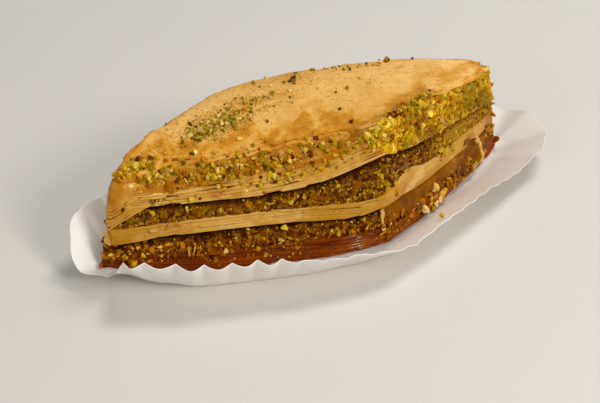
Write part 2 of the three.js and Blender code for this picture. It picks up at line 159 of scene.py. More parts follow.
def noise(points, size, seed):
    """Value noise from -1 to 1: lattice values eased between the corners of cells of the given size."""
    scaled = np.asarray(points, float) / size + 512.0
    cell = np.floor(scaled).astype(np.int64)
    t = scaled - cell
    t = t * t * (3 - 2 * t)
    total = 0.0
    for corner in range(8):
        step = np.array([corner & 1, (corner >> 1) & 1, corner >> 2])
        at = cell + step
        weight = np.prod(np.where(step == 1, t, 1 - t), axis=-1)
        total = total + weight * lattice(at[..., 0], at[..., 1], at[..., 2], seed)
    return 2 * total - 1


def rough(points, size, seed, octaves=3):
    """Sum of noises, each half the size and half the strength of the last, kept within about -1 to 1."""
    total, strength, whole = 0.0, 1.0, 0.0
    for octave in range(octaves):
        total = total + strength * noise(points, size / 2 ** octave, seed + 101 * octave)
        whole += strength
        strength *= 0.5
    return total / whole


def around(stations, turn):
    """A value given at stations round the case, eased from each station to the next."""
    at = np.array([s[0] for s in stations] + [1.0])
    value = np.array([s[1] for s in stations] + [stations[0][1]], float)
    t = np.mod(turn, 1.0)
    i = np.clip(np.searchsorted(at, t, side="right") - 1, 0, len(at) - 2)
    return mix(value[i], value[i + 1], smooth((t - at[i]) / (at[i + 1] - at[i]), 0, 1))


# ---------------------------------------------------------------- plan of the piece
def plan_point(p, q):
    """Plan point of (p, q), which run from -1 to 1 along the front side and from front to back."""
    return np.stack([0.5 * (p * FRONT_SIDE + q * PLAN_LEAN), 0.5 * q * PLAN_DEPTH + 0 * p], -1)


def plan_share(place):
    """(p, q) of a point, from its x and y."""
    q = place[..., 1] / (0.5 * PLAN_DEPTH)
    return (place[..., 0] - q * 0.5 * PLAN_LEAN) / (0.5 * FRONT_SIDE), q


def raised(plan, z):
    """Plan points at the height z, which may be one number for all."""
    return np.concatenate([plan, np.broadcast_to(z, plan.shape[:-1])[..., None]], -1)


def from_front(q):
    """Distance behind the front side."""
    return 0.5 * (q + 1) * PLAN_DEPTH


def from_long_tip(turn):
    """Turns from the nearer long tip."""
    return np.abs(np.mod(2 * turn + 0.5, 1.0) - 0.5) / 2


def rim(turn, tip_rounding=FOOT_TIP_ROUNDING, blunt_rounding=BLUNT_ROUNDING):
    """(p, q, along, side) on a square of side 2 pulled in to |p|^n + |q|^n = 1, from tip A."""
    t = 4 * np.mod(turn, 1.0)
    side = np.floor(t).astype(int)
    straight = 2 * (t - side) - 1
    along = straight * (1 + CORNER_EASE * (1 - straight * straight))
    one = np.ones_like(along)
    p = np.choose(side, [along, one, -along, -one])
    q = np.choose(side, [-one, along, one, -along])
    power = np.where(p * q > 0, tip_rounding, blunt_rounding)
    scale = (np.abs(p) ** power + np.abs(q) ** power) ** (-1 / power)
    return p * scale, q * scale, along, side


def rim_place(turn, *roundings):
    """(p, q) alone."""
    return rim(turn, *roundings)[:2]


def outline(turn):
    """The food's plain outline."""
    return plan_point(*rim_place(turn))


def outward(curve, turn):
    """Unit vector out of a closed plan curve: its chord over 0.008 turn, turned by a right angle."""
    chord = curve(turn + 0.004) - curve(turn - 0.004)
    normal = np.stack([chord[..., 1], -chord[..., 0]], -1)
    return normal / np.linalg.norm(normal, axis=-1, keepdims=True)


def tip_rounding(share):
    """The long tips' rounding at a share of the stack's height: its inverse goes straight up the stack."""
    return 1 / mix(1 / FOOT_TIP_ROUNDING, 1 / CROWN_TIP_ROUNDING, share)


def tip_lean(p, tip, share):
    """How far the long tips lean in, by nearness to the tip times share of the height to the power 1.5."""
    return np.where(p < 0, TIP_LEAN["A"], TIP_LEAN["C"]) * tip * share ** 1.5


def cut_side(turn, height, proud=0.0):
    """Plan point of the cut side: the rounded outline, blunter and leaning in at the tips with height,
    spreading at the foot by (1 - h)^1.5, and `proud` mm outside all that."""
    share = unit(height / STACK_HEIGHT)
    p, q, along, side = rim(turn, tip_rounding(share))
    foot = (1 - unit(height / SPREAD_HEIGHT)) ** 1.5
    spread = SIDE_SPREAD[side] * foot * (1 - along * along)
    tip = np.maximum(0, p * q) ** 2
    reach = np.where(p < 0, FOOT_REACH * foot * tip ** 4, 0)
    shrink = (1 - (tip_lean(p, tip, share) - reach) / HALF_DIAGONAL)[..., None]
    return plan_point(p, q) * shrink + outward(outline, turn) * (spread + proud)[..., None]


def even_turns(count, curve=outline, extra=None):
    """`count` turns at even lengths along a closed plan curve, `extra(turn)` counting as added length."""
    fine = np.linspace(0, 1, 2881)
    steps = np.linalg.norm(np.diff(curve(fine), axis=0), axis=-1)
    if extra is not None:
        steps = steps * (1 + extra(0.5 * (fine[1:] + fine[:-1])))
    length = np.concatenate([[0], np.cumsum(steps)])
    return np.interp((np.arange(count) + 0.5) / count * length[-1], length, fine)


# ---------------------------------------------------------------- heights of the layers
def surface(v, p, q):
    """Biquadratic surface through nine heights."""
    across = [(p * (p - 1)) / 2, 1 - p * p, (p * (p + 1)) / 2]
    front = across[0] * v["A"] + across[1] * v["AB"] + across[2] * v["B"]
    middle = across[0] * v["DA"] + across[1] * v["mid"] + across[2] * v["BC"]
    back = across[0] * v["D"] + across[1] * v["CD"] + across[2] * v["C"]
    return front * ((q * (q - 1)) / 2) + middle * (1 - q * q) + back * ((q * (q + 1)) / 2)


def tip_rise(p, q):
    """The underside's rise towards both tips: the square of the way past the flat zone."""
    along = np.abs(p + q) / 2
    return TIP_LIFT * (np.maximum(0, along - REST_ZONE) / (1 - REST_ZONE)) ** 2


def food_foot(p, q):
    """Underside of the bottom pastry."""
    return FOOD_FLOOR + tip_rise(p, q)


def bottom_top(p, q):
    """Top of the bottom pastry."""
    return food_foot(p, q) + FOOT_THICKNESS


def corner_lift(p, q, height, centre, reach):
    """A low bell on the right side near corner B, where the middle pastry rides up."""
    return height * smooth(p, 0.75, 1.0) * np.exp(-(((q - centre) / reach) ** 2))


def middle_foot(p, q):
    """Underside of the middle pastry: the nine-height surface and a lift near corner B."""
    return FOOD_FLOOR + surface(MIDDLE_FOOT, p, q) + corner_lift(p, q, *MIDDLE_FOOT_LIFT)


def middle_top(p, q):
    """Top of the middle pastry: the nine-height surface and a lift near corner B."""
    return FOOD_FLOOR + surface(MIDDLE_TOP, p, q) + corner_lift(p, q, *MIDDLE_TOP_LIFT)


def crown_foot(p, q):
    """Underside of the crown: the nine-height surface, lifted by a bell over corner B."""
    near_b = np.hypot(1 - p, 1 + q)
    return FOOD_FLOOR + surface(CROWN_FOOT, p, q) + BLUNT_SWELL * np.exp(-((near_b / SWELL_REACH) ** 2))


def dome(p, q):
    """The crown's whole dome, before anything slid."""
    return FOOD_FLOOR + surface(CROWN_TOP, p, q)


def slid_share(p):
    """How far the front edge has slid at p: 0 at the ends, 1 along the middle."""
    return plateau(p, *SHOULDER_RUN)


def crown_top(p, q):
    """The dome less the slid shoulder: a smooth drop towards the front edge and a step at the crack."""
    depth = from_front(q)
    slide = 1 - smooth(depth, 0, SHOULDER_WIDTH)
    step = np.where(depth < SHOULDER_WIDTH - 0.3, CRACK_STEP, 0)
    return dome(p, q) - slid_share(p) * (SHOULDER_DROP * slide + step)


# ---------------------------------------------------------------- meshes from arrays
def ring_faces(rows, count):
    """Quads between neighbouring rings of `count` points, counter-clockwise seen from outside when the
    rings run counter-clockwise seen from above and climb."""
    row = np.arange(rows - 1)[:, None] * count
    i = np.arange(count)[None, :]
    j = (i + 1) % count
    return np.stack([row + i, row + j, row + count + j, row + count + i], -1).reshape(-1, 4)


def closed_rings(rings):
    """Vertices, quads and triangles of a chain of rings closed by a fan at each end."""
    rows, count = rings.shape[:2]
    points = rings.reshape(-1, 3)
    low, high = points.shape[0], points.shape[0] + 1
    poles = np.stack([rings[0].mean(0), rings[-1].mean(0)])
    i = np.arange(count)
    j = (i + 1) % count
    last = (rows - 1) * count
    fans = np.concatenate([
        np.stack([j, i, np.full(count, low)], -1),
        np.stack([last + i, last + j, np.full(count, high)], -1),
    ])
    return np.concatenate([points, poles]), ring_faces(rows, count), fans


def grid_faces(rows, columns):
    """Quads of a grid of points and its edge points, counter-clockwise."""
    index = np.arange(rows * columns).reshape(rows, columns)
    quads = np.stack([index[:-1, :-1], index[:-1, 1:], index[1:, 1:], index[1:, :-1]], -1).reshape(-1, 4)
    return quads, np.concatenate([index[0, :-1], index[:-1, -1], index[-1, :0:-1], index[:0:-1, 0]])


def shell_faces(quads, loop, count):
    """Faces of a thin closed shell, whose outer points come first and `count` inner ones after them."""
    following = np.roll(loop, -1)
    skirt = np.stack([count + loop, count + following, following, loop], -1)
    return np.concatenate([quads, quads[:, ::-1] + count, skirt])


def shell_points(turn, height, proud, thickness):
    """Outer and inner points of a shell that follows the cut side."""
    plans = [cut_side(turn, height, proud - inside) for inside in (0.0, thickness)]
    return [raised(plan, height).reshape(-1, 3) for plan in plans]


def placed(name, data):
    """A new object of the scene."""
    thing = bpy.data.objects.new(name, data)
    bpy.context.scene.collection.objects.link(thing)
    return thing


def add_piece(name, points, quads, triangles, material, values, replaces=(), flat=False):
    """Puts a mesh of millimetre points into the scene as a piece of the object, with one material, and its
    per-point values or colours as attributes."""
    shifted = points + [*PLAN_SHIFT, 0.0]
    quads = np.zeros((0, 4), np.int64) if quads is None else quads
    triangles = np.zeros((0, 3), np.int64) if triangles is None else triangles
    corners = np.concatenate([quads.ravel(), triangles.ravel()]).astype(np.int32)
    starts = np.append(4 * np.arange(len(quads)), 4 * len(quads) + 3 * np.arange(len(triangles)))
    mesh = bpy.data.meshes.new(name)
    mesh.vertices.add(len(shifted))
    mesh.vertices.foreach_set("co", (shifted * MM).astype(np.float32).ravel())
    mesh.loops.add(len(corners))
    mesh.loops.foreach_set("vertex_index", corners)
    mesh.polygons.add(len(starts))
    mesh.polygons.foreach_set("loop_start", starts.astype(np.int32))
    mesh.update(calc_edges=True)
    if mesh.validate():
        raise RuntimeError(f"{name}: the mesh had faults")
    mesh.polygons.foreach_set("use_smooth", np.full(len(starts), not flat))
    for key, value in values.items():
        value = np.asarray(value, np.float32)
        if value.ndim == 1:
            mesh.attributes.new(key, "FLOAT", "POINT").data.foreach_set("value", value)
        else:
            colour = np.concatenate([value, np.ones((len(value), 1), np.float32)], 1)
            mesh.attributes.new(key, "FLOAT_COLOR", "POINT").data.foreach_set("color", colour.ravel())
    mesh.materials.append(material)
    piece = placed(name, mesh)
    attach(piece, "root")
    if replaces:
        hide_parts(*replaces)


def add_stack(name, points, quads, fans, material, node, values):
    """Puts in a piece that takes the place of a solid."""
    add_piece(name, points, quads, fans, material, values, [node])


def add_bits(name, bits, tints, material):
    """Puts in broken bits with sharp faces, each of one tint."""
    points, faces, each = bits
    add_piece(name, points, None, faces, material, {"tint": np.repeat(tints, each, 0)}, flat=True)


# ---------------------------------------------------------------- shader wiring
SYRUP_SHEEN = (1.0, 0.6, 0.12)


def srgb(code):
    """Linear colour of a display colour written as 0xRRGGBB."""
    c = np.array([code >> 16, code >> 8 & 255, code & 255]) / 255
    return tuple(np.where(c <= 0.04045, c / 12.92, ((c + 0.055) / 1.055) ** 2.4).tolist())


def painted(base, other, share):
    """Per-point mix of two colours."""
    return mix(np.array(base)[None], np.array(other)[None], share[:, None])


def toned(paint, *tones):
    """Paint moved towards display colours in turn, each given with its share for each point."""
    for code, share in zip(tones[::2], tones[1::2]):
        paint = mix(paint, np.array(srgb(code)), share[:, None])
    return paint


class Wire:
    """One output socket. Arithmetic on wires adds Math nodes."""

    def __init__(self, finish, socket):
        self.finish = finish
        self.socket = socket

    def _math(self, operation, *operands):
        return self.finish.wire("ShaderNodeMath", 0, {"operation": operation}, dict(enumerate(operands)))

    def __add__(self, other):
        return self._math("ADD", self, other)

    __radd__ = __add__

    def __sub__(self, other):
        return self._math("SUBTRACT", self, other)

    def __rsub__(self, other):
        return self._math("SUBTRACT", other, self)

    def __mul__(self, other):
        return self._math("MULTIPLY", self, other)

    __rmul__ = __mul__

    def ease(self, low, high):
        """0 below low, 1 above high, smooth between."""
        return self.finish.wire("ShaderNodeMapRange", 0, {"interpolation_type": "SMOOTHSTEP"}, {
            "Value": self, "From Min": low, "From Max": high, "To Min": 0.0, "To Max": 1.0,
        })


class Finish:
    """A node material and the few calls that wire it."""

    def __init__(self, name):
        self.material = bpy.data.materials.new(name)
        self.material.use_nodes = True
        self.tree = self.material.node_tree
        self.tree.nodes.clear()
        self.output = self.tree.nodes.new("ShaderNodeOutputMaterial")
        self.place = self.wire("ShaderNodeTexCoord", "Object")

    def add(self, kind, settings, sockets):
        """A node of a kind, its settings made first, then the values or wires of its sockets."""
        node = self.tree.nodes.new(kind)
        for key, value in settings.items():
            setattr(node, key, value)
        for key, value in sockets.items():
            if isinstance(value, Wire):
                self.tree.links.new(value.socket, node.inputs[key])
            else:
                node.inputs[key].default_value = (*value, 1.0) if node.inputs[key].type == "RGBA" else value
        return node

    def wire(self, kind, output, settings={}, sockets={}):
        """One output of a new node."""
        return Wire(self, self.add(kind, settings, sockets).outputs[output])

    def sheet_place(self, along, across_mm):
        """Object coordinates shortened along the sheets, with the share of the stack's height for height."""
        parts = self.add("ShaderNodeSeparateXYZ", {}, {0: self.place})
        x, y = (Wire(self, parts.outputs[axis]) * along for axis in (0, 1))
        rise = self.value("rise") * (across_mm * MM)
        return self.wire("ShaderNodeCombineXYZ", 0, {}, {0: x, 1: y, 2: rise})

    def grain(self, size_mm, detail=3.0, roughness=0.55, place=None):
        """Noise from 0 to 1 with features of the given size."""
        return self.wire("ShaderNodeTexNoise", "Fac", {"noise_dimensions": "3D"}, {
            "Vector": place or self.place, "Scale": 1 / (size_mm * MM), "Detail": detail,
            "Roughness": roughness,
        })

    def value(self, name):
        """A per-point number of the mesh."""
        return self.wire("ShaderNodeAttribute", "Fac", {"attribute_name": name})

    def colour(self, name):
        """A per-point colour of the mesh."""
        return self.wire("ShaderNodeAttribute", "Color", {"attribute_name": name})

    def blend(self, share, first, second, mode="MIX"):
        """Mix of two colours."""
        settings = {"data_type": "RGBA", "blend_type": mode, "clamp_factor": True}
        return self.wire("ShaderNodeMix", 2, settings, {0: share, 6: first, 7: second})

    def layered(self, base, *layers):
        """A colour with others over it, each a pair of its share and itself."""
        for share, colour in layers:
            base = self.blend(share, base, colour)
        return base

    def bump(self, height, depth_mm, strength):
        """Normals bent by a height from 0 to 1 that stands for depth_mm."""
        sockets = {"Height": height, "Distance": depth_mm * MM, "Strength": strength}
        return self.wire("ShaderNodeBump", 0, {}, sockets)

    def surface(self, **sockets):
        """The material's one Principled shader; underscores in the names stand for spaces."""
        named = {key.replace("_", " "): value for key, value in sockets.items()}
        shader = self.add("ShaderNodeBsdfPrincipled", {}, named)
        self.tree.links.new(shader.outputs[0], self.output.inputs["Surface"])
        return self.material

    def glazed(self, colour, roughness, coat, normal, level, coat_roughness=0.12):
        """A food's shader, with a coat of syrup and a warm sheen."""
        return self.surface(
            Base_Color=colour, Roughness=roughness, Coat_Weight=coat, Coat_Roughness=coat_roughness,
            Normal=normal, Specular_IOR_Level=level, Specular_Tint=SYRUP_SHEEN,
        )


# ---------------------------------------------------------------- pastry
def cap_rings(edge, height, shares):
    """Copies of an edge ring drawn in towards the middle by each share, on a height surface."""
    plans = [edge[:, :2] * share for share in shares]
    return [raised(plan, height(*plan_share(plan))) for plan in plans]


def crown_setback(turn, share):
    """How far the crown's sheets end behind the cut at a share of its height: along the front edge the
    upper ones step back to the crack, the inverse smoothstep of their height over the lip times its depth."""
    p, q, _, side = rim(turn)
    slid = np.where(side == 0, slid_share(p), 0.0)
    foot, top = crown_foot(p, q), dome(p, q)
    z = mix(foot, top, share)
    lip = top - slid * (SHOULDER_DROP + CRACK_STEP)
    over = unit((z - lip) / np.maximum(slid * SHOULDER_DROP, 0.3))
    ease = 0.5 - np.sin(np.arcsin(1 - 2 * over) / 3)
    return ease * SHOULDER_WIDTH * smooth(slid, 0.0, 0.7)


def sheet_edges(turn, sheets, seed, relief, groove):
    """How far each sheet's cut edge stands proud at each turn, and the depth of the gap over it.

    Each edge is a slow wander, a ragged part and chips: places where noise is high are broken off."""
    base = outline(turn)
    proud, gap = [], []
    for k in range(sheets + 1):
        at = raised(base, 9.7 * k)
        ragged = 0.6 * noise(at, 14.0, seed + k) + 0.3 * noise(at, 4.5, seed + 50 + k)
        ragged = ragged + 0.12 * noise(at, 1.2, seed + 90 + k)
        chip = smooth(noise(at, 5.0, seed + 140 + k), 0.45, 0.6) * (0.6 + 0.4 * noise(at, 2.0, seed + 7 + k))
        proud.append(relief * ragged - 1.5 * relief * chip)
        gap.append(groove * np.clip(0.75 + 0.9 * noise(at, 16.0, seed + 200 + k), 0.2, 1.6))
    return np.array(proud), np.array(gap)


def sheet_stack(foot, top, sheets, seed, layer, count, relief, groove, foot_rings, top_rings, setback=None,
                crest=1.0, lip=0.0, calm=None, open_gaps=1.0):
    """A closed stack of pastry sheets between two height surfaces.

    Every sheet gives five rings: two in the gap under it and three round its rounded edge. A ring
    is the cut outline at the sheet's height, moved out by the sheet's own edge and in by the gap.
    The lines between the sheets wander up and down by noise, by less than half a sheet, and stand open
    by up to `open_gaps` where a long noise is high. Where `calm(p, q)` is 1 the sheets stick together:
    low relief and shallow gaps."""
    random = np.random.default_rng(seed)
    thick = 0.55 + random.random(sheets)
    turn = even_turns(count)
    edge = outline(turn)
    level = np.concatenate([[0], np.cumsum(thick)]) / thick.sum() * crest
    slack = 0.45 * np.minimum(np.append(thick, 0), np.append(0, thick)) / thick.sum() * crest
    level = [middle + most * rough(raised(edge, 5.3 * k), 13.0, seed + 300, 2)
             for k, (middle, most) in enumerate(zip(level, slack))]
    p, q = rim_place(turn)
    low, high = foot(p, q), top(p, q)
    aside = wander(layer, turn)
    proud, gap = sheet_edges(turn, sheets, seed, relief, groove)
    still = calm(p, q) if calm else 0.0 * turn
    proud, gap = proud * (1 - 0.6 * still), gap * (1 - 0.75 * still)
    tone = random.random(sheets + 1) ** 1.5
    rings, tones, gaps, heights = [], [], [], []

    def add_ring(share, out, depth, sheet):
        bell = 4 * share * (crest - share) / crest ** 2
        droop = 0.45 * noise(raised(edge, 3.1 * share), 9.0, seed + 5) * bell
        back = setback(turn, share) if setback is not None else 0.0
        swell = lip * (1 - smooth(share, 0.0, 0.3)) * smooth(share, -0.04, 0.06)
        plan = cut_side(turn, mix(low, high, share) + droop, aside + out + swell - depth - back)
        at_p, at_q = plan_share(plan)
        rings.append(raised(plan, mix(foot(at_p, at_q), top(at_p, at_q), share) + droop))
        tones.append(unit(tone[sheet] + 0.25 * noise(raised(plan, 17.0 * sheet), 6.0, seed + 60)))
        # How deep this ring's gap is, which the finish paints as shade.
        gaps.append(unit(depth / (1.5 * groove)) + np.zeros(count))
        heights.append(share)

    for k in range(sheets):
        under = gap[k] if k else 0.15 * groove
        wide = smooth(noise(raised(edge, 17.7 * k), 22.0, seed + 400), 0.05, 0.4) * (k > 0) * open_gaps
        wide = wide * (1 - still)
        under = under * (1 + 0.8 * wide)
        add_ring(level[k], np.minimum(proud[k], proud[k - 1]) if k else proud[k], under, k)
        for share, broad, back in ((0.09, 0.3, 0.9 * under), (0.2, 0.42, 0.25 * groove), (0.52, 0.62, 0.0),
                                   (0.86, 0.88, 0.18 * groove)):
            add_ring(mix(level[k], level[k + 1], mix(share, broad, wide)), proud[k], back, k)
    add_ring(level[-1], proud[sheets - 1], 0.25 * groove, sheets - 1)

    def crest_height(at_p, at_q):
        return mix(foot(at_p, at_q), top(at_p, at_q), crest)

    feet = cap_rings(rings[0], foot, sorted(foot_rings))
    tops = cap_rings(rings[-1], crest_height, top_rings)
    points, quads, fans = closed_rings(np.array(feet + rings + tops))
    points[-2:, 2] = foot(0.0, 0.0), crest_height(0.0, 0.0)

    def spread(rows, fill):
        body = [np.full(count, fill)] * len(feet) + rows + [np.full(count, fill)] * len(tops)
        return np.concatenate([*body, [fill, fill]])

    values = {"tone": spread(tones, 0.5), "gap": spread(gaps, 0.0), "rise": spread(heights, crest),
              "calm": spread([still] * len(rings), 0.0)}
    return points, quads, fans, values


def square_grid(across, up):
    """A grid over the square -1..1: its points, its quads and its edge points counter-clockwise."""
    u, v = np.meshgrid(np.linspace(-1, 1, across), np.linspace(-1, 1, up))
    return u.ravel(), v.ravel(), *grid_faces(up, across)


def square_turn(u, v):
    """The turn and the share of the way out of a point of the square: the share is the larger of |u| and
    |v|, the turn that of the edge point in its direction, by inverting the spacing towards the corners."""
    share = np.maximum(np.maximum(np.abs(u), np.abs(v)), 1e-9)
    a, b = u / share, v / share
    side = np.select([b <= -1 + 1e-9, a >= 1 - 1e-9, b >= 1 - 1e-9], [0, 1, 2], 3)
    along = np.choose(side, [a, b, -a, -b])
    fine = np.linspace(-1, 1, 2001)
    straight = np.interp(along, fine * (1 + CORNER_EASE * (1 - fine * fine)), fine)
    return np.minimum((side + 0.5 * (straight + 1)) / 4, 0.999999), share


CRUST_SEED = 61
CRUST_LIFT = 0.35      # of the slid crust over the solid's shoulder


def crust_relief(plan, seed):
    """Blisters and wrinkles of a baked sheet: two sizes of noise, the ridges of a third, and long fine
    creases near the crack."""
    at = raised(plan, 0.3 * seed)
    ridge = 1 - np.abs(noise(at * [1.0, 1.6, 1.0], 6.5, seed + 3))
    crease = 1 - np.abs(noise(at * [0.3, 1.5, 1.0], 2.6, seed + 13))
    near_crack = 1 - smooth(plan_share(plan)[1], -0.7, -0.3)
    return (0.42 * rough(at, 7.0, seed, 3) + 0.2 * (ridge ** 3 - 0.3) + 0.16 * rough(at, 1.8, seed + 9, 2)
            + 0.28 * near_crack * (crease ** 4 - 0.3))


def crust_sheet(inset, height, thickness, seed, across, up):
    """A thin closed shell over the crown: a grid drawn over the square and bent to the outline less
    `inset(turn)`, on `height(p, q)`, with a rim and a hidden underside. The inset is taken on the way to
    the middle, divided by how far the cut faces away from it, so that it can't fold at the tips."""
    u, v, quads, loop = square_grid(across, up)
    turn, share = square_turn(u, v)
    p, q = rim_place(turn)
    edge = cut_side(turn, dome(p, q), wander("crown", turn))
    inward = edge / np.linalg.norm(edge, axis=-1, keepdims=True)
    least = mix(0.36, 1.0, smooth(from_long_tip(turn), 0.005, 0.06))
    facing = np.minimum((inward * outward(outline, turn)).sum(-1), least)
    edge = edge - inward * (inset(turn) / np.maximum(facing, 0.34))[:, None]
    plan = edge * share[:, None]
    curl = 0.25 * smooth(share, 0.955, 1.0) * noise(raised(plan, 0), 5.0, seed + 31)
    upper = raised(plan, height(*plan_share(plan)) + crust_relief(plan, seed) + curl)
    lower = upper[loop]
    lower[:, 2] -= 0.75 * thickness * (1 + 0.35 * noise(upper[loop], 3.0, seed + 5))
    under = upper[loop][:, :2] * 0.93
    under = raised(under, height(*plan_share(under)) - thickness - 0.4)
    points = np.concatenate([upper, lower, under, [[0, 0, height(0.0, 0.0) - thickness - 2.0]]])
    start, count = len(upper), len(loop)
    i = start + np.arange(count)
    j = np.roll(i, -1)
    skirt = np.stack([i, j, np.roll(loop, -1), loop], -1)
    belly = np.stack([count + i, count + j, j, i], -1)
    fan = np.stack([count + j, count + i, np.full(count, len(points) - 1)], -1)
    edge_share = np.concatenate([share, np.ones(2 * count), [0]])
    return points, np.concatenate([quads, skirt, belly]), fan, edge_share


def shoulder_crust(lift, thickness, seed, columns, rows):
    """The broken crust that lies on the slid shoulder: a band from under the top crust out to a torn outer
    edge, lumpy, and bent over the front edge, as a thin closed shell."""
    turn = np.linspace(0.003, 0.246, columns)
    outer = 0.25 + 1.2 * np.abs(wavy(turn, [(6.0, 1.0), (2.2, 0.5), (0.7, 0.2)], seed))
    outer = outer + 1.6 * smooth(wavy(turn, [(7.0, 1.0)], seed + 3), 0.35, 0.7)
    inner = mix(0.9, SHOULDER_WIDTH + 0.9, smooth(slid_share(rim_place(turn)[0]), 0.0, 0.6))
    inner = np.maximum(inner, outer + 0.4)
    share = np.linspace(0, 1, rows)[:, None]
    depth = mix(outer, inner, share)
    aside = wander("crown", turn)
    lip = crown_top(*plan_share(cut_side(turn, 30.0 + 0 * turn, aside)))
    plan = cut_side(np.broadcast_to(turn, depth.shape), np.broadcast_to(lip, depth.shape), aside - depth)
    p, q = plan_share(plan)
    at = raised(plan, 0.7 * seed)
    ridge = 1 - np.abs(noise(at * [0.32, 1.6, 1.0], 2.4, seed + 3))
    relief = 0.36 * rough(at * [0.5, 1.0, 1.0], 3.6, seed, 2) + 0.5 * (ridge ** 4 - 0.25)
    fallen = slid_share(p) * (SHOULDER_DROP * (1 - smooth(depth, 0, SHOULDER_WIDTH)) + CRACK_STEP)
    bent = 0.9 * np.maximum(0, 1 - share / 0.3) ** 2
    upper = raised(plan, dome(p, q) - fallen + lift + relief - bent).reshape(-1, 3)
    out = 1 - np.broadcast_to(share, depth.shape).ravel()
    points = np.concatenate([upper, upper - [0, 0, thickness]])
    faces = shell_faces(*grid_faces(rows, columns), rows * columns)
    return points, faces, np.tile(out, 2), np.tile(ridge.ravel(), 2)


def wavy(turn, sizes, seed):
    """Sum of noises along the outline: sizes is a list of (length, height)."""
    at = raised(outline(turn), 2.0 * seed)
    return sum(height * noise(at, length, seed + 11 * i) for i, (length, height) in enumerate(sizes))


def crust_inset(turn):
    """How far the top crust ends behind the cut: at the crack along the front, a little round corner B
    and almost nothing elsewhere, with a torn edge."""
    p, q, _, side = rim(turn)
    front = np.where(side == 0, smooth(slid_share(p), 0.0, 0.6) * (SHOULDER_WIDTH - 0.6), 0.0)
    right = np.where(side == 1, 3.4 * plateau(q, -1.0, -0.8, -0.45, -0.1), 0.0)
    tip = 0.5 * np.exp(-(((turn - 0.5) / 0.03) ** 2))
    at_tip = smooth(tip, 0.05, 0.4)
    torn = 0.3 + 0.7 * smooth(front + right, 0.5, 3.0) + 0.5 * at_tip
    bitten = 0.9 * at_tip * np.abs(wavy(turn, [(4.0, 1.0), (1.5, 0.6)], 75))
    return front + right + tip + bitten + torn * wavy(turn, [(9.0, 0.8), (3.0, 0.55), (1.0, 0.25)], 71) + 0.2


def second_inset(turn):
    """The sheet under the top crust reaches a little further out."""
    return crust_inset(turn) - 0.7 + wavy(turn, [(6.0, 0.8), (1.6, 0.5)], 83)


# ---------------------------------------------------------------- broken bits
GOLDEN = 0.5 * (1 + math.sqrt(5))
ICOSA = np.array([[-1, GOLDEN, 0], [1, GOLDEN, 0], [-1, -GOLDEN, 0], [1, -GOLDEN, 0],
                  [0, -1, GOLDEN], [0, 1, GOLDEN], [0, -1, -GOLDEN], [0, 1, -GOLDEN],
                  [GOLDEN, 0, -1], [GOLDEN, 0, 1], [-GOLDEN, 0, -1], [-GOLDEN, 0, 1]])
ICOSA_FACES = np.array([[0, 11, 5], [0, 5, 1], [0, 1, 7], [0, 7, 10], [0, 10, 11], [1, 5, 9], [5, 11, 4],
                        [11, 10, 2], [10, 7, 6], [7, 1, 8], [3, 9, 4], [3, 4, 2], [3, 2, 6], [3, 6, 8],
                        [3, 8, 9], [4, 9, 5], [2, 4, 11], [6, 2, 10], [8, 6, 7], [9, 8, 1]])
OCTA = np.array([[1, 0, 0], [-1, 0, 0], [0, 1, 0], [0, -1, 0], [0, 0, 1], [0, 0, -1]], float)
OCTA_FACES = np.array([[0, 2, 4], [2, 1, 4], [1, 3, 4], [3, 0, 4],
                       [2, 0, 5], [1, 2, 5], [3, 1, 5], [0, 3, 5]])
TWENTY_FACES = (ICOSA / np.linalg.norm(ICOSA[0]), ICOSA_FACES)
EIGHT_FACES = (OCTA, OCTA_FACES)


def finer(points, faces):
    """Each triangle cut in four, the new points pushed out to the unit sphere."""
    edges = np.sort(np.concatenate([faces[:, [0, 1]], faces[:, [1, 2]], faces[:, [2, 0]]]), axis=1)
    unique, inverse = np.unique(edges, axis=0, return_inverse=True)
    middle = points[unique].mean(1)
    middle = middle / np.linalg.norm(middle, axis=1, keepdims=True)
    m = inverse.reshape(3, -1) + len(points)
    a, b, c = faces.T
    split = [(a, m[0], m[2]), (m[0], b, m[1]), (m[2], m[1], c), (m[0], m[1], m[2])]
    return np.concatenate([points, middle]), np.concatenate([np.stack(s, -1) for s in split])


EIGHTY_FACES = finer(*TWENTY_FACES)


def turned(random, count):
    """Rotations: any turn about the upright axis after a tilt of up to half a turn about each other axis."""
    turns = np.pi * np.stack([2 * random.random(count), *(random.random((2, count)) - 0.5)])
    whole = np.eye(3)
    for angle, (i, j) in zip(turns, ((0, 1), (2, 0), (1, 2))):
        one = np.tile(np.eye(3), (count, 1, 1))
        one[:, i, i] = one[:, j, j] = np.cos(angle)
        one[:, j, i] = np.sin(angle)
        one[:, i, j] = -one[:, j, i]
        whole = whole @ one
    return whole


def broken_bits(random, centres, sizes, shape, squash=(0.6, 1.0), cuts=7):
    """Chopped bits, each the given shape stretched, cut off by random planes and turned.

    A point past a plane is moved back onto it, which leaves flat faces with sharp edges."""
    points, faces = shape
    count = len(centres)
    body = np.repeat(points[None], count, 0) * (0.9 + 0.2 * random.random((count, len(points), 1)))
    for _ in range(cuts):
        normal = random.normal(size=(count, 1, 3))
        normal /= np.linalg.norm(normal, axis=-1, keepdims=True)
        past = (body * normal).sum(-1, keepdims=True) - (0.3 + 0.5 * random.random((count, 1, 1)))
        body = body - np.maximum(past, 0) * normal
    stretch = np.stack([1.0 + 0.4 * random.random(count), 0.85 + 0.35 * random.random(count),
                        mix(*squash, random.random(count))], -1)
    body = body * stretch[:, None, :] * (0.5 * sizes)[:, None, None]
    body = np.einsum("nij,nkj->nki", turned(random, count), body) + centres[:, None, :]
    triangles = (faces[None] + (np.arange(count) * len(points))[:, None, None]).reshape(-1, 3)
    return body.reshape(-1, 3), triangles, len(points)


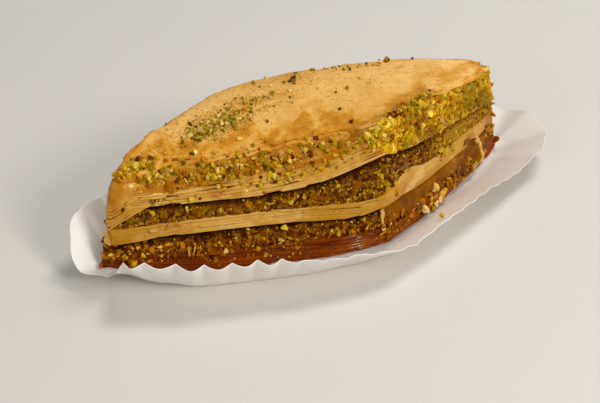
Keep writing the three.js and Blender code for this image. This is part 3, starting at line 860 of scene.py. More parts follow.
def pick_colours(random, count, palette, spread=0.1):
    """A colour for each bit, from a palette of (share, 0xRRGGBB), a little lighter or darker."""
    weights, codes = (np.array(column) for column in zip(*palette))
    which = random.choice(len(palette), count, p=weights / weights.sum())
    colours = np.array([srgb(code) for code in codes])[which]
    return unit(colours * (1 + spread * random.normal(size=(count, 1))))


def clump_shade(points):
    """Lighter and darker clumps: 1 plus 0.75 times a noise of about 6 mm, within 0.3 to 1.25."""
    return np.clip(1 + 0.75 * rough(points, 6.0, 47, 2), 0.3, 1.25)[:, None]


def chopped_sizes(random, count, least, most, power=2.2):
    """Sizes of chopped nuts: many small ones, few large ones."""
    return least + (most - least) * random.random(count) ** power


# ---------------------------------------------------------------- fillings
def filling_core(foot, top, seed, count, rows):
    """The dark body of a filling: a closed ring chain set back from the cut, most at its top, and lumpy."""
    def low(p, q):
        return foot(p, q) + 0.1

    def high(p, q):
        return top(p, q) - 0.35

    turn = even_turns(count)
    p, q = rim_place(turn)
    level = np.linspace(0, 1, rows)
    rings = []
    for share in level:
        z = mix(low(p, q), high(p, q), share)
        lump = rough(raised(outline(turn), z), 2.4, seed, 3)
        plan = cut_side(turn, z, 0.95 * lump - 0.45 - 3.2 * smooth(share, 0.7, 0.92))
        rings.append(raised(plan, z + 0.12 * lump * (0 < share < 1)))
    feet = cap_rings(rings[0], low, (0.5, 0.7, 0.9))
    tops = cap_rings(rings[-1], high, (0.9, 0.7, 0.5))
    points, quads, fans = closed_rings(np.array(feet + rings + tops))
    points[-2:, 2] = low(0.0, 0.0), high(0.0, 0.0)
    # Painted shade under the pastry above: none in the lower rows, full in the top rows and the top cap.
    shade_under_pastry = np.concatenate([np.zeros(len(feet)), smooth(level, 0.62, 0.86), np.ones(len(tops))])
    return points, quads, fans, np.append(np.repeat(shade_under_pastry, count), [0, 1])


def glowing(p, q, start, end):
    """Share of syrup glow on the right side, from q = start to q = end."""
    return smooth(p, 0.85, 0.97) * smooth(q, start, end)


def filling_places(random, count, sizes, foot, top, proud):
    """Middles of nut bits on a filling's cut side: even along the side, thinning out towards its top, each
    sunk by a part of its size so that its face stands near the cut."""
    tall = even_turns(count, outline, lambda t: 0.12 * (top(*rim_place(t)) - foot(*rim_place(t))) ** 1.3)
    turn = tall[random.permutation(count)] + (random.random(count) - 0.5) / count
    p, q = rim_place(turn)
    low, high = foot(p, q), top(p, q)
    room = np.maximum((high - low) * 0.86 - 0.2 - sizes, 0.05)
    share = random.random(count) ** 1.1
    z = low + 0.5 * sizes * 0.8 + room * share
    depth = proud - 0.42 * sizes - 0.9 * random.random(count) ** 2 - 0.5 * share ** 3
    return raised(cut_side(turn, z, depth), z), turn


def tip_curtain(leaves, columns, rows, thickness, seed):
    """Sheets of the crown that hang down round tip A over the upper filling, like shingles.

    Each is a band round the tip from inside the crown to a torn lower edge; the edge drops as
    cos(x)^1.2 towards the tip, less for each sheet further out, and flares a little. Also gives each
    point's sheet, share of the way down, shade under the next sheet's edge and share of the way aside."""
    points, quads, columns_of = [], [], []
    share = np.linspace(0, 1, rows)[:, None]
    n = rows * columns
    face, loop = grid_faces(rows, columns)
    face = shell_faces(np.roll(face[:, ::-1], 1, axis=1), loop[::-1], n)

    def lower_edge(leaf, turn):
        p, q = rim_place(turn)
        x = (turn - 0.002) / (0.064 - 0.0022 * leaf)
        bell = np.cos(0.5 * np.pi * np.clip(x, -1, 1)) ** 1.2
        foot = crown_foot(p, q)
        at = raised(outline(turn), 5.0 * leaf)
        end = mix(foot + 0.15 + 0.62 * leaf, 14.0 + 1.15 * leaf, bell) + 0.3 * rough(at, 3.4, seed + leaf)
        return end, bell, foot, at

    for leaf in range(leaves):
        x = np.linspace(-1, 1, columns)
        turn = 0.002 + (0.064 - 0.0022 * leaf) * x
        end, bell, foot, at = lower_edge(leaf, turn)
        start = foot + 2.2 + 0.8 * leaf
        z = mix(start, end, share)
        plan = np.broadcast_to(outline(turn), (rows, columns, 2))
        fold = 0.16 * noise(raised(plan, 0.25 * z + 7.0 * leaf), 1.7, seed + 40)
        out = 0.3 + 0.2 * leaf + fold + 0.3 * smooth(share, 0.75, 1.0) * (0.6 + noise(at, 3.0, seed + 9))
        out = out - 0.6 * (1 - smooth(share, 0.0, 0.3)) - (1.0 + 0.3 * leaf) * (1 - bell) ** 2
        points += shell_points(np.broadcast_to(turn, z.shape), z, wander("crown", turn) + out, thickness)
        quads.append(face + 2 * n * leaf)
        over = lower_edge(leaf + 1, turn)[0] if leaf + 1 < leaves else start + 9.0
        shade = 1 - smooth(over - z, 0.05, 0.6)
        row = np.broadcast_arrays(leaf / max(leaves - 1, 1), share + 0.37 * leaf, shade, np.abs(x), z)[:4]
        columns_of.append([np.tile(value.ravel(), 2) for value in row])
    return np.concatenate(points), np.concatenate(quads), *np.concatenate(columns_of, axis=1)


def peeled_patch(columns, rows, thickness, seed):
    """The syrup-soaked sheet that hangs over the lower filling and the bottom pastry on the right side.

    Its top tucks in under the middle pastry, its lower edge is torn, and its far edge follows an arc
    that has peeled off the middle pastry and curls outward."""
    u = np.linspace(0, 1, columns)[None, :] ** 0.8
    v = np.linspace(0, 1, rows)[:, None]
    plain = mix(-0.97, 0.6, u)
    edge = plain[0][:, None] * [31, 0, 0]
    torn = 1.6 + 1.5 * rough(edge, 6.0, seed + 3, 3) + 0.6 * noise(edge, 1.6, seed + 4)
    low = food_foot(1.0, plain) + mix(np.maximum(torn, 0.4), 0.7, smooth(u, 0.75, 0.95))
    high = mix(middle_foot(1.0, plain) + 0.25, 13.8, smooth(u, 0.78, 0.95))
    z = mix(low, high, v)
    far = np.interp(z, [1.6, 3.3, 6.0, 9.0, 12.0, 14.0], [0.30, 0.56, 0.62, 0.59, 0.50, 0.40])
    far = far + 0.035 * rough(z[..., None] * [1, 0, 0], 1.3, seed, 2)
    q = mix(-0.97, far, u)
    at = np.stack([31 * q, z, 0 * z], -1)
    proud = 0.15 + 0.55 * rough(at, 5.0, seed + 1, 2) + 0.3 * rough(at * [0.4, 1.0, 1.0], 1.4, seed + 2, 2)
    proud = proud - 1.3 * smooth(v, 0.8, 1.0) * (1 - smooth(u, 0.75, 0.9)) - 0.8 * (1 - smooth(u, 0.0, 0.05))
    proud = proud + (1.0 + 0.8 * noise(at, 2.2, seed + 5)) * smooth(u, 0.93, 1.0)
    points = shell_points(side_turn("right", q), z + 0.5 * smooth(u, 0.95, 1.0), proud, thickness)
    rim_share = np.broadcast_to(np.maximum(u, 1 - 20 * v), q.shape).ravel()
    faces = shell_faces(*grid_faces(rows, columns), rows * columns)
    return np.concatenate(points), faces, np.tile(rim_share, 2)


# ---------------------------------------------------------------- single places on the sides
def side_turn(side, value):
    """The turn whose plain outline point has p = value on the front side, or q = value on the right side."""
    turn = np.linspace(0.001, 0.249, 500) + (0.25 if side == "right" else 0.0)
    p, q = rim_place(turn)
    return np.interp(value, q if side == "right" else p, turn)


def quarter_left(direction):
    """A plan direction turned by a right angle to the left."""
    return np.stack([-direction[..., 1], direction[..., 0]], -1)


def side_spot(side, value, height, proud=0.0):
    """Point on a cut side, with the side's direction and its outward direction there."""
    turn = side_turn(side, value)
    height = height + 0 * turn
    out = outward(outline, turn)
    return raised(cut_side(turn, height, proud), height), raised(quarter_left(out), 0), raised(out, 0)


# ---------------------------------------------------------------- places for crumbs
def visible_top(p, q):
    """The crust's own bumpy top, or the slid shoulder in front of the crack."""
    slid = (from_front(q) < SHOULDER_WIDTH) & (slid_share(p) > 0.4)
    crust = dome(p, q) + crust_relief(plan_point(p, q), CRUST_SEED)
    return np.where(slid, crown_top(p, q) + CRUST_LIFT, crust)


def within(p, q, height, margin):
    """True where (p, q) lies `margin` mm inside the cut at that height."""
    share = unit(height / STACK_HEIGHT)
    power = np.where(p * q > 0, tip_rounding(share), BLUNT_ROUNDING)
    reach = (np.abs(p) ** power + np.abs(q) ** power) ** (1 / power)
    lean = tip_lean(p, np.maximum(0, p * q / reach ** 2) ** 2, share)
    return reach < 1 - lean / HALF_DIAGONAL - 2 * margin / PLAN_DEPTH


def patch_places(random, patches, lift):
    """Points scattered over the top in round-edged patches of (p, q, reach p, reach q, slant, count)."""
    found = []
    for p0, q0, reach_p, reach_q, slant, count in patches:
        a, b = random.normal(size=(2, count)) * 0.5
        p = p0 + reach_p * a
        q = q0 + reach_q * b + slant * (p - p0)
        keep = within(p, q, dome(p, q), 0.35)
        found.append(np.stack([p[keep], q[keep]]))
    p, q = np.concatenate(found, axis=1)
    return raised(plan_point(p, q), visible_top(p, q) + lift)


def side_places(random, count, start, end, low_share, high_share, proud):
    """Points scattered over the crown's cut side between two turns and two shares of its height."""
    turn = mix(start, end, random.random(count))
    p, q = rim_place(turn)
    z = mix(crown_foot(p, q), crown_top(p, q), mix(low_share, high_share, random.random(count)))
    return raised(cut_side(turn, z, wander("crown", turn) + proud), z)


# ---------------------------------------------------------------- flakes
def flakes(middles, along, across, lengths, widths, curl, thickness, seed, cols=10, rows=5):
    """Thin torn flakes of pastry as closed shells.

    Each is a grid on its own two directions; its width follows the root of 1 - u^4 and a noise, it bends
    by curl times u^2 along its length, and a rim joins its two faces."""
    count = len(middles)
    u, v, quads, loop = square_grid(cols, rows)
    across = across - along * (across * along).sum(-1, keepdims=True)
    along = along / np.linalg.norm(along, axis=-1, keepdims=True)
    across = across / np.linalg.norm(across, axis=-1, keepdims=True)
    normal = np.cross(along, across)
    which = np.arange(count)[:, None]
    at = np.stack(np.broadcast_arrays(u * 3, v * 0.6, 11.0 * which), -1)
    torn = 1 + 0.45 * noise(at * [1, 2, 1], 1.1, seed)
    x = u * lengths[:, None] * 0.5 * (1 + 0.12 * noise(at, 1.3, seed + 1))
    y = v * widths[:, None] * 0.5 * (1 - 0.75 * np.abs(u) ** 3) * torn
    bend = curl[:, None] * (u ** 2 + 0.5 * v * u) + 0.2 * widths[:, None] * rough(at, 1.8, seed + 2)
    shape = (middles[:, None] + x[..., None] * along[:, None] + y[..., None] * across[:, None]
             + bend[..., None] * normal[:, None])
    half = 0.5 * thickness * normal[:, None]
    points = np.concatenate([shape + half, shape - half], 1).reshape(-1, 3)
    n = len(u)
    faces = shell_faces(quads, loop, n) + 2 * n * which[..., None]
    return points, faces.reshape(-1, 4), 2 * n


# ---------------------------------------------------------------- paper case
def tight_base(turn):
    """The case's base before its slack: the food's outline, rounder, with a margin."""
    p, q = rim_place(turn, BASE_ROUNDING, BASE_ROUNDING)
    margin = BASE_MARGIN / (0.5 * math.sin(TIP_ANGLE))
    return plan_point(p * (1 + margin / FRONT_SIDE), q * (1 + margin / RIGHT_SIDE))


def fold_line(turn):
    """The fold between base and wall."""
    return tight_base(turn) + outward(tight_base, turn) * around(SLACK, turn)[..., None]


def fan_out(turn):
    """Extra length at the two long tips, where the wall fans out."""
    return FAN_EXTRA * np.exp(-((from_long_tip(turn) / FAN_TURN) ** 2))


def pleat(phase, point):
    """A wave from -1 to 1 with round troughs and crests drawn to a point: a sine mixed with
    1 - 2 |sin(phase / 2)|, by the share `point`."""
    sharp = 1 - 2 * np.abs(np.sin(0.5 * (phase - 0.5 * np.pi))) ** 0.85
    return mix(np.sin(phase), sharp, point)


def eased_around(stations, turn):
    """`around`, averaged over a short way on both sides."""
    return np.mean([around(stations, turn + step) for step in np.linspace(-0.007, 0.007, 9)], axis=0)


def paper_shell(count_per_flute, base_rings, wall_rings, thickness):
    """The case as a thin closed shell: base rings out to the fold, the fluted wall to its free edge, and
    back inside it. The pleats are cut into the paper's rise at a right angle to the wall."""
    count = FLUTES * count_per_flute
    turn = even_turns(count, fold_line, fan_out)
    flute = (np.arange(count) + 0.5) / count * FLUTES
    fold = fold_line(turn)
    out = sum(outward(fold_line, turn + step) for step in np.linspace(-0.02, 0.02, 9))
    out = out / np.linalg.norm(out, axis=-1, keepdims=True)
    tilt = np.radians(eased_around(WALL_TILT, turn))
    length = eased_around(WALL_LENGTH, turn)
    depth = around(FLUTE_DEPTH, turn) * mix(1.0, 0.75, plateau(turn, 0.05, 0.07, 0.3, 0.4))
    place = raised(fold, 0)
    uneven = 1 + 0.3 * noise(place, 9.0, 501)
    shallow = 1 - smooth(depth, 0.3, 0.9)
    depth = np.maximum(depth, 0.2) * uneven
    phase = 2 * np.pi * flute + 0.5 * noise(place, 14.0, 502)
    wave = pleat(phase, 0.75) + shallow * 0.5 * pleat(2 * phase + 1.0, 0.6)
    length = length + 0.35 * noise(place, 6.0, 503) + 0.12 * noise(place, 1.5, 504)

    def soft(plan):
        return 0.10 * np.abs(noise(raised(plan, 0), 7.0, 505))

    def base_ring(share, lift):
        plan = fold * share
        return raised(plan, tip_rise(*plan_share(plan)) + lift + smooth(share, 0.75, 1.0) * soft(plan))

    def wall_ring(share, lift):
        along = length * share
        crumple = 0.22 * share * rough(raised(fold, along), 8.0, 506, 2)
        rise = lift + share ** 0.9 * depth * wave + crumple
        reach = along * np.cos(tilt) - rise * np.sin(tilt)
        z = tip_rise(*plan_share(fold)) + along * np.sin(tilt) + rise * np.cos(tilt)
        return raised(fold + out * reach[:, None], z + (1 - share) * soft(fold))

    base = np.linspace(0.35, 1.0, base_rings)
    wall = np.sort(np.append(np.linspace(0, 1, wall_rings + 1)[1:], 0.985))
    rings = ([base_ring(s, 0.0) for s in base] + [wall_ring(s, 0.0) for s in wall]
             + [wall_ring(s, thickness) for s in wall[::-1]] + [base_ring(s, thickness) for s in base[::-1]])
    points, quads, fans = closed_rings(np.array(rings))
    points[-2], points[-1] = (0, 0, 0), (0, 0, thickness)
    share = np.concatenate([np.zeros(base_rings), wall, wall[::-1], np.zeros(base_rings)])
    free = np.append(np.repeat(share, count), [0, 0])
    thin = np.tile(plateau(turn, 0.3, 0.42, 0.56, 0.66), len(rings))
    thin = np.append(thin, [0, 0]) * smooth(free, 0.0, 0.3)
    return points, quads, fans, {"free": free, "thin": thin}


# ---------------------------------------------------------------- finishes
def crust_finish(colours):
    """Golden baked sheet: warm and cool patches, syrup stains that darken and shine, small burnt specks."""
    f = Finish("golden crust")
    fine = f.grain(2.2, 4.0, 0.6)
    stain = f.value("syrup")
    pore = f.grain(0.6, 3.0, 0.7)
    mottle = f.grain(2.8, 4.0, 0.65)
    freckle = f.grain(1.1, 2.0).ease(0.66, 0.72) * f.grain(7.0).ease(0.45, 0.6)
    body = f.layered(
        f.colour("paint"),
        (f.grain(16.0, 2.0).ease(0.4, 0.7) * 0.45 + f.grain(4.5, 3.0).ease(0.52, 0.7) * 0.35, colours.toast),
        (fine.ease(0.5, 0.75) * 0.5, colours.crust_light), (pore.ease(0.5, 0.68) * 0.4, colours.toast),
        ((0.9 * stain + 1.3 * (mottle - 0.5)).ease(0.2, 0.95) * 0.9, colours.syrup),
        (freckle * 0.2, colours.burnt),
    )
    height = f.grain(0.8, 3.0, 0.6) * 0.4 + f.grain(2.6, 3.0) * 0.9 - pore * 0.25
    gloss = stain.ease(0.3, 0.95)
    coat = 0.5 * gloss * mottle.ease(0.5, 0.62)
    return f.glazed(body, 0.66 - 0.34 * gloss - 0.1 * fine, coat, f.bump(height, 0.5, 0.6), 0.3)


def sheet_finish(name, light, stain, shade, roughness, coat, streaks, depth_mm=0.25, lines=0.26, sheen=0.3):
    """Cut pastry sheets: each sheet's own tone, painted sheen in streaks along it, stains, fine dark lines
    and painted shade in the gaps between the sheets."""
    f = Finish(name)
    streak = f.grain(1.0, 2.0, 0.5, place=f.sheet_place(0.1, 14.0))
    line = f.grain(0.5, 1.0, 0.5, place=f.sheet_place(0.035, 16.0))
    loose = 1 - 0.85 * f.value("calm")
    blotch = f.grain(5.0, 3.0, 0.6)
    fine = f.grain(0.6, 3.0, 0.6)
    # The light colour's streaks are painted sheen; the shade colour in the gaps is painted shade.
    body = f.layered(
        f.colour("paint"), (streak.ease(0.45, 0.7) * streaks, light), (blotch.ease(0.5, 0.7) * 0.5, stain),
        (line.ease(0.52, 0.74) * lines * loose, shade), (f.value("gap").ease(0.3, 0.8) * 0.95, shade),
    )
    normal = f.bump(0.35 * streak + 0.4 * fine - 0.25 * line, depth_mm, 0.5)
    return f.glazed(body, roughness + 0.2 * (fine - 0.5), coat * blotch.ease(0.45, 0.75), normal, sheen)


def nut_finish(name, roughness, coat, speckle):
    """Broken nut: each bit's own colour, mottled, with syrup that shines in places."""
    f = Finish(name)
    fine = f.grain(0.55, 4.0, 0.65)
    blotch = f.grain(1.6, 2.0)
    darker = f.blend(blotch.ease(0.4, 0.75) * speckle, f.colour("tint"), srgb(0x964E06), "MULTIPLY")
    lighter = f.blend(fine.ease(0.55, 0.8) * 0.35, darker, srgb(0xE2AC08))
    normal = f.bump(fine + 0.5 * blotch, 0.22, 0.8)
    return f.glazed(lighter, roughness + 0.25 * (fine - 0.5), coat * blotch.ease(0.5, 0.7), normal, 0.18, 0.1)


def core_finish(colours):
    """The dark sticky mass between the nuts of a filling, with painted shade at its top under the pastry
    above.
    """
    f = Finish("nut paste")
    coarse = f.grain(1.4, 4.0, 0.65)
    fine = f.grain(0.4, 3.0, 0.7)
    body = f.layered(
        colours.paste_dark, (f.grain(2.2, 4.0, 0.6).ease(0.42, 0.6), colours.paste),
        (f.grain(1.5, 3.0, 0.6).ease(0.53, 0.62) * 0.8, srgb(0xB27A0E)),
        # The near-black 0x2A0B01 is painted shade under the pastry above.
        (f.value("glow") * (0.5 + 0.5 * coarse), f.colour("paint")), (f.value("shade_under_pastry"), srgb(0x2A0B01)),
    )
    normal = f.bump(coarse + 0.4 * fine, 0.6, 0.9)
    return f.glazed(body, 0.5 + 0.2 * (fine - 0.5), 0.4 * coarse.ease(0.5, 0.7), normal, 0.3)


def paper_finish(colours):
    """Thin white baking paper: fine fibres, duller cloudy patches, a duller thin fan, faint stains near the
    food.
    """
    f = Finish("white paper")
    fibre = f.grain(0.35, 3.0, 0.7)
    cloud = f.grain(9.0, 3.0)
    stain = (1 - f.value("free").ease(0.0, 0.35)) * cloud.ease(0.5, 0.8) * 0.25
    body = f.layered(
        colours.paper, (cloud.ease(0.3, 0.8) * 0.5, colours.paper_shade),
        (f.value("thin") * (0.75 + 0.25 * cloud), srgb(0xD8D0C6)), (stain, srgb(0xD6B284)),
    )
    return f.surface(
        Base_Color=body, Roughness=0.8 - 0.1 * fibre, Normal=f.bump(fibre + 0.6 * cloud, 0.08, 0.6),
        Subsurface_Weight=0.25, Subsurface_Radius=(1.0, 0.9, 0.8), Subsurface_Scale=0.0008,
    )


def plain_finish(name, colour, roughness):
    """The stage's plain pale finish, with a trace of unevenness."""
    f = Finish(name)
    cloud = f.grain(60.0, 2.0)
    lighter = [min(1.0, 1.02 * c) for c in colour]
    return f.surface(Base_Color=f.blend(cloud, colour, lighter), Roughness=roughness + 0.04 * cloud)


# ---------------------------------------------------------------- colours and sizes a user may change
def colour_choice(label, words, code):
    """A colour with its name, its words and its default as 0xRRGGBB."""
    return bpy.props.FloatVectorProperty(
        name=label, description=words, subtype="COLOR", size=3, min=0.0, max=1.0, default=srgb(code))


def count_choice(label, words, default, least, most):
    """A whole number with its limits."""
    return bpy.props.IntProperty(name=label, description=words, default=default, min=least, max=most)


def number_choice(label, words, default, least=0.0, measure="NONE"):
    """A number with its least value and its kind of unit."""
    return bpy.props.FloatProperty(name=label, description=words, default=default, min=least, unit=measure)


class BaklavaColours(bpy.types.PropertyGroup):
    crust: colour_choice("Crust", "Baked top sheet", 0xE8B666)
    crust_light: colour_choice("Light crust", "Palest part of the top sheet", 0xF6CA7E)
    toast: colour_choice("Toast", "Well-baked part of the top sheet", 0xC88418)
    syrup: colour_choice("Syrup", "Top sheet where syrup has soaked in", 0xB46C02)
    burnt: colour_choice("Burnt specks", "Darkest specks on the crust", 0x542406)
    pale_sheet: colour_choice("Pale sheets", "Cut edges of pastry without syrup", 0xDEAC52)
    # Painted sheen: the pale streaks along the cut sheets.
    sheen_streaks: colour_choice("Light streaks", "Palest streaks on cut pastry", 0xF4D084)
    soaked_sheet: colour_choice("Soaked sheets", "Cut edges of pastry full of syrup", 0xB86E04)
    gap_shade: colour_choice("Gaps", "Gaps between pastry sheets", 0x481A00)
    bottom_sheet: colour_choice("Bottom sheets", "Syrup-dark sheets of the bottom pastry", 0x702400)
    # The bottom sheets' own orange, and also the painted sheen of their streaks.
    bottom_orange_and_sheen: colour_choice("Bottom streaks", "Lit edges of the bottom sheets", 0xAC5204)
    # Painted shade in the gaps between the bottom sheets, and also their dark stains.
    bottom_gap_shade_and_stain: colour_choice("Bottom gaps", "Gaps between the bottom sheets", 0x320900)
    paste: colour_choice("Nut paste", "Sticky mass between the nuts", 0x8C4A02)
    paste_dark: colour_choice("Dark nut paste", "Deepest part of the filling", 0x3E0F00)
    paper: colour_choice("Paper", "White of the paper case", 0xF8F4ED)
    paper_shade: colour_choice("Paper shade", "Duller white of the paper case", 0xF0EAE1)
    floor: colour_choice("Floor", "Plain floor", 0xD6D2CB)


class BaklavaSizes(bpy.types.PropertyGroup):
    crown_sheets: count_choice("Crown sheets", "Sheets that show in the crown", 11, 6, 40)
    middle_sheets: count_choice("Middle sheets", "Sheets that show in the middle pastry", 5, 3, 20)
    bottom_sheets: count_choice("Bottom sheets", "Sheets that show in the bottom pastry", 8, 3, 20)
    sheet_relief: number_choice("Sheet relief", "How far sheets stand in and out", 0.00055, 0.0, "LENGTH")
    crust_thickness: number_choice("Crust thickness", "Top crust", 0.0007, 0.0002, "LENGTH")
    nuts: count_choice("Nut bits", "Bits that show in each filling", 3200, 100, 6000)
    crumbs: count_choice("Crumbs", "Larger crumbs on the crown", 1500, 0, 5000)
    paper_thickness: number_choice("Paper thickness", "Paper case", 0.00015, 0.0001, "LENGTH")


class BaklavaStage(bpy.types.PropertyGroup):
    floor_size: number_choice("Floor size", "Side of the floor", 6.0, 0.5, "LENGTH")
    focal_length: number_choice("Focal length", "Camera lens", 71.4, 10.0, "CAMERA")
    key_power: number_choice("Window light", "Power of the large soft light", 3.6, 0.0, "POWER")
    fill_power: number_choice("Fill light", "Power of the light from the viewer's side", 4.2, 0.0, "POWER")
    left_power: number_choice("Left light", "Power of the weak light from the left", 1.1, 0.0, "POWER")
    sky: number_choice("Sky", "Even light from all round", 0.3)


# ---------------------------------------------------------------- operators
ROUND = 1100      # points in each ring of the lower layers and the fillings
CROWN_ROUND = 1200      # and in the crown's
LARGE_NUTS = 330      # in each filling
FALLEN_NUTS = (200, 130)      # on the front side and on the right side
LOOSE_FLAKES = 70
SIDE_DUST = 1500


def colours():
    """The colours the user has chosen."""
    return bpy.context.scene.baklava_colours


def sizes():
    """The sizes the user has chosen."""
    return bpy.context.scene.baklava_sizes


def cut_finish(name, **numbers):
    """The usual finish of cut sheets with syrup: soaked stains, painted sheen streaks and painted shade in
    the gaps between them.
    """
    c = colours()
    return sheet_finish(name, c.sheen_streaks, c.soaked_sheet, c.gap_shade, **numbers)


class BAKLAVA_OT_bottom_pastry(bpy.types.Operator):
    """The dark bottom pastry, soaked with syrup"""

    bl_idname = "baklava.bottom_pastry"
    bl_label = "Bottom pastry"

    def execute(self, context):
        c, s = colours(), sizes()
        points, quads, fans, values = sheet_stack(
            food_foot, bottom_top, s.bottom_sheets, seed=311, layer="bottom", count=ROUND,
            relief=1.1 * s.sheet_relief / MM, groove=0.55, foot_rings=(0.93, 0.8, 0.6),
            top_rings=(0.93, 0.8, 0.6), open_gaps=0.6)
        p, q = plan_share(points)
        glow = unit(0.3 * values["tone"] + 0.6 * rough(points * [1, 1, 2.5], 7.0, 21, 2))
        glow = unit(glow + 0.1 * smooth(p + q, 1.2, 1.9) + 0.1 * smooth(p, 0.6, 1.0))
        values["paint"] = painted(c.bottom_sheet, c.bottom_orange_and_sheen, glow)
        # The orange colour is painted sheen in the streaks; the gap colour is painted shade in the gaps and
        # the dark stains.
        finish = sheet_finish("syrup-soaked sheets", c.bottom_orange_and_sheen, c.bottom_gap_shade_and_stain, c.bottom_gap_shade_and_stain,
                              roughness=0.28, coat=0.8, streaks=0.4, depth_mm=0.4)
        add_stack("bottom_pastry_sheets", points, quads, fans, finish, "bottom_pastry", values)
        return {"FINISHED"}


def middle_calm(p, q):
    """Where the middle pastry's sheets stick together: at tip A and along the right side."""
    return np.maximum(0.7 * smooth(-p - q, 1.1, 1.75), smooth(p, 0.9, 0.99) * smooth(q, -0.95, -0.6))


class BAKLAVA_OT_middle_pastry(bpy.types.Operator):
    """The pale middle pastry"""

    bl_idname = "baklava.middle_pastry"
    bl_label = "Middle pastry"

    def execute(self, context):
        c, s = colours(), sizes()
        points, quads, fans, values = sheet_stack(
            middle_foot, middle_top, s.middle_sheets, seed=412, layer="middle", count=ROUND,
            relief=s.sheet_relief / MM, groove=0.24, foot_rings=(0.93, 0.5), top_rings=(0.93, 0.5),
            calm=middle_calm, open_gaps=0.25)
        at = points * [1, 1, 2.0]
        p, q = plan_share(points)
        soaked = 0.4 * values["tone"] + 0.5 * rough(at, 10.0, 22, 2) + 0.4 * smooth(p, 0.85, 0.98)
        soaked = soaked + (0.4 * smooth(-p, 0.2, 0.9) + 0.35 * smooth(p, 0.3, 0.8)) * smooth(-q, 0.5, 0.9)
        paint = painted(c.pale_sheet, c.soaked_sheet, 0.75 * unit(soaked))
        olive = smooth(p + q, 0.7, 1.8) * (0.6 + 0.6 * rough(at, 6.0, 25, 2))
        olive = np.maximum(olive, smooth(-p - q, 1.1, 1.8))
        olive = np.maximum(olive, 0.75 * smooth(np.abs(p + 0.1), 0.4, 0.65) * smooth(-q, 0.9, 0.99))
        pale = 0.6 * smooth(rough(points * [1, 1, 1.4], 4.5, 27, 3), 0.05, 0.4) * (1 - 0.6 * olive)
        tipped = 0.8 * smooth(-p - q, 1.5, 1.9) * smooth(rough(points, 3.0, 26), -0.3, 0.3)
        values["paint"] = toned(paint, 0xB88210, 0.85 * unit(olive), 0xE8C27A, unit(pale),
                                0xB06C08, 0.8 * np.maximum(smooth(p + q, 1.45, 1.85), tipped))
        # 0x7A4206 is painted shade in the gaps between the middle sheets; the streaks are painted sheen.
        finish = sheet_finish("pale sheets", c.sheen_streaks, c.soaked_sheet, srgb(0x7A4206),
                              roughness=0.5, coat=0.35, streaks=0.2, lines=0.06)
        add_stack("middle_pastry_sheets", points, quads, fans, finish, "middle_pastry", values)
        return {"FINISHED"}


SYRUP_PATCHES = (      # (p, q, reach in p) of the stains on the crust
    (0.136, -0.467, 0.10), (0.176, -0.625, 0.13), (0.61, -0.812, 0.17), (0.327, -0.729, 0.17),
    (-0.266, -0.544, 0.10), (0.04, -0.66, 0.12), (0.45, -0.66, 0.13), (-0.45, -0.68, 0.10),
    (0.74, -0.80, 0.12), (0.30, -0.50, 0.08), (0.814, 0.637, 0.12), (0.886, 0.127, 0.10),
    (0.966, -0.135, 0.10), (0.634, 0.346, 0.07), (0.305, 0.593, 0.06), (0.90, 0.90, 0.14),
    (-0.60, -0.62, 0.10), (-0.85, -0.55, 0.08), (0.80, 0.40, 0.09),
)


def crown_calm(p, q):
    """Where the crown's sheets stick together, in places of a long noise."""
    return 0.55 * smooth(noise(raised(plan_point(p, q), 0), 11.0, 640), 0.05, 0.3)


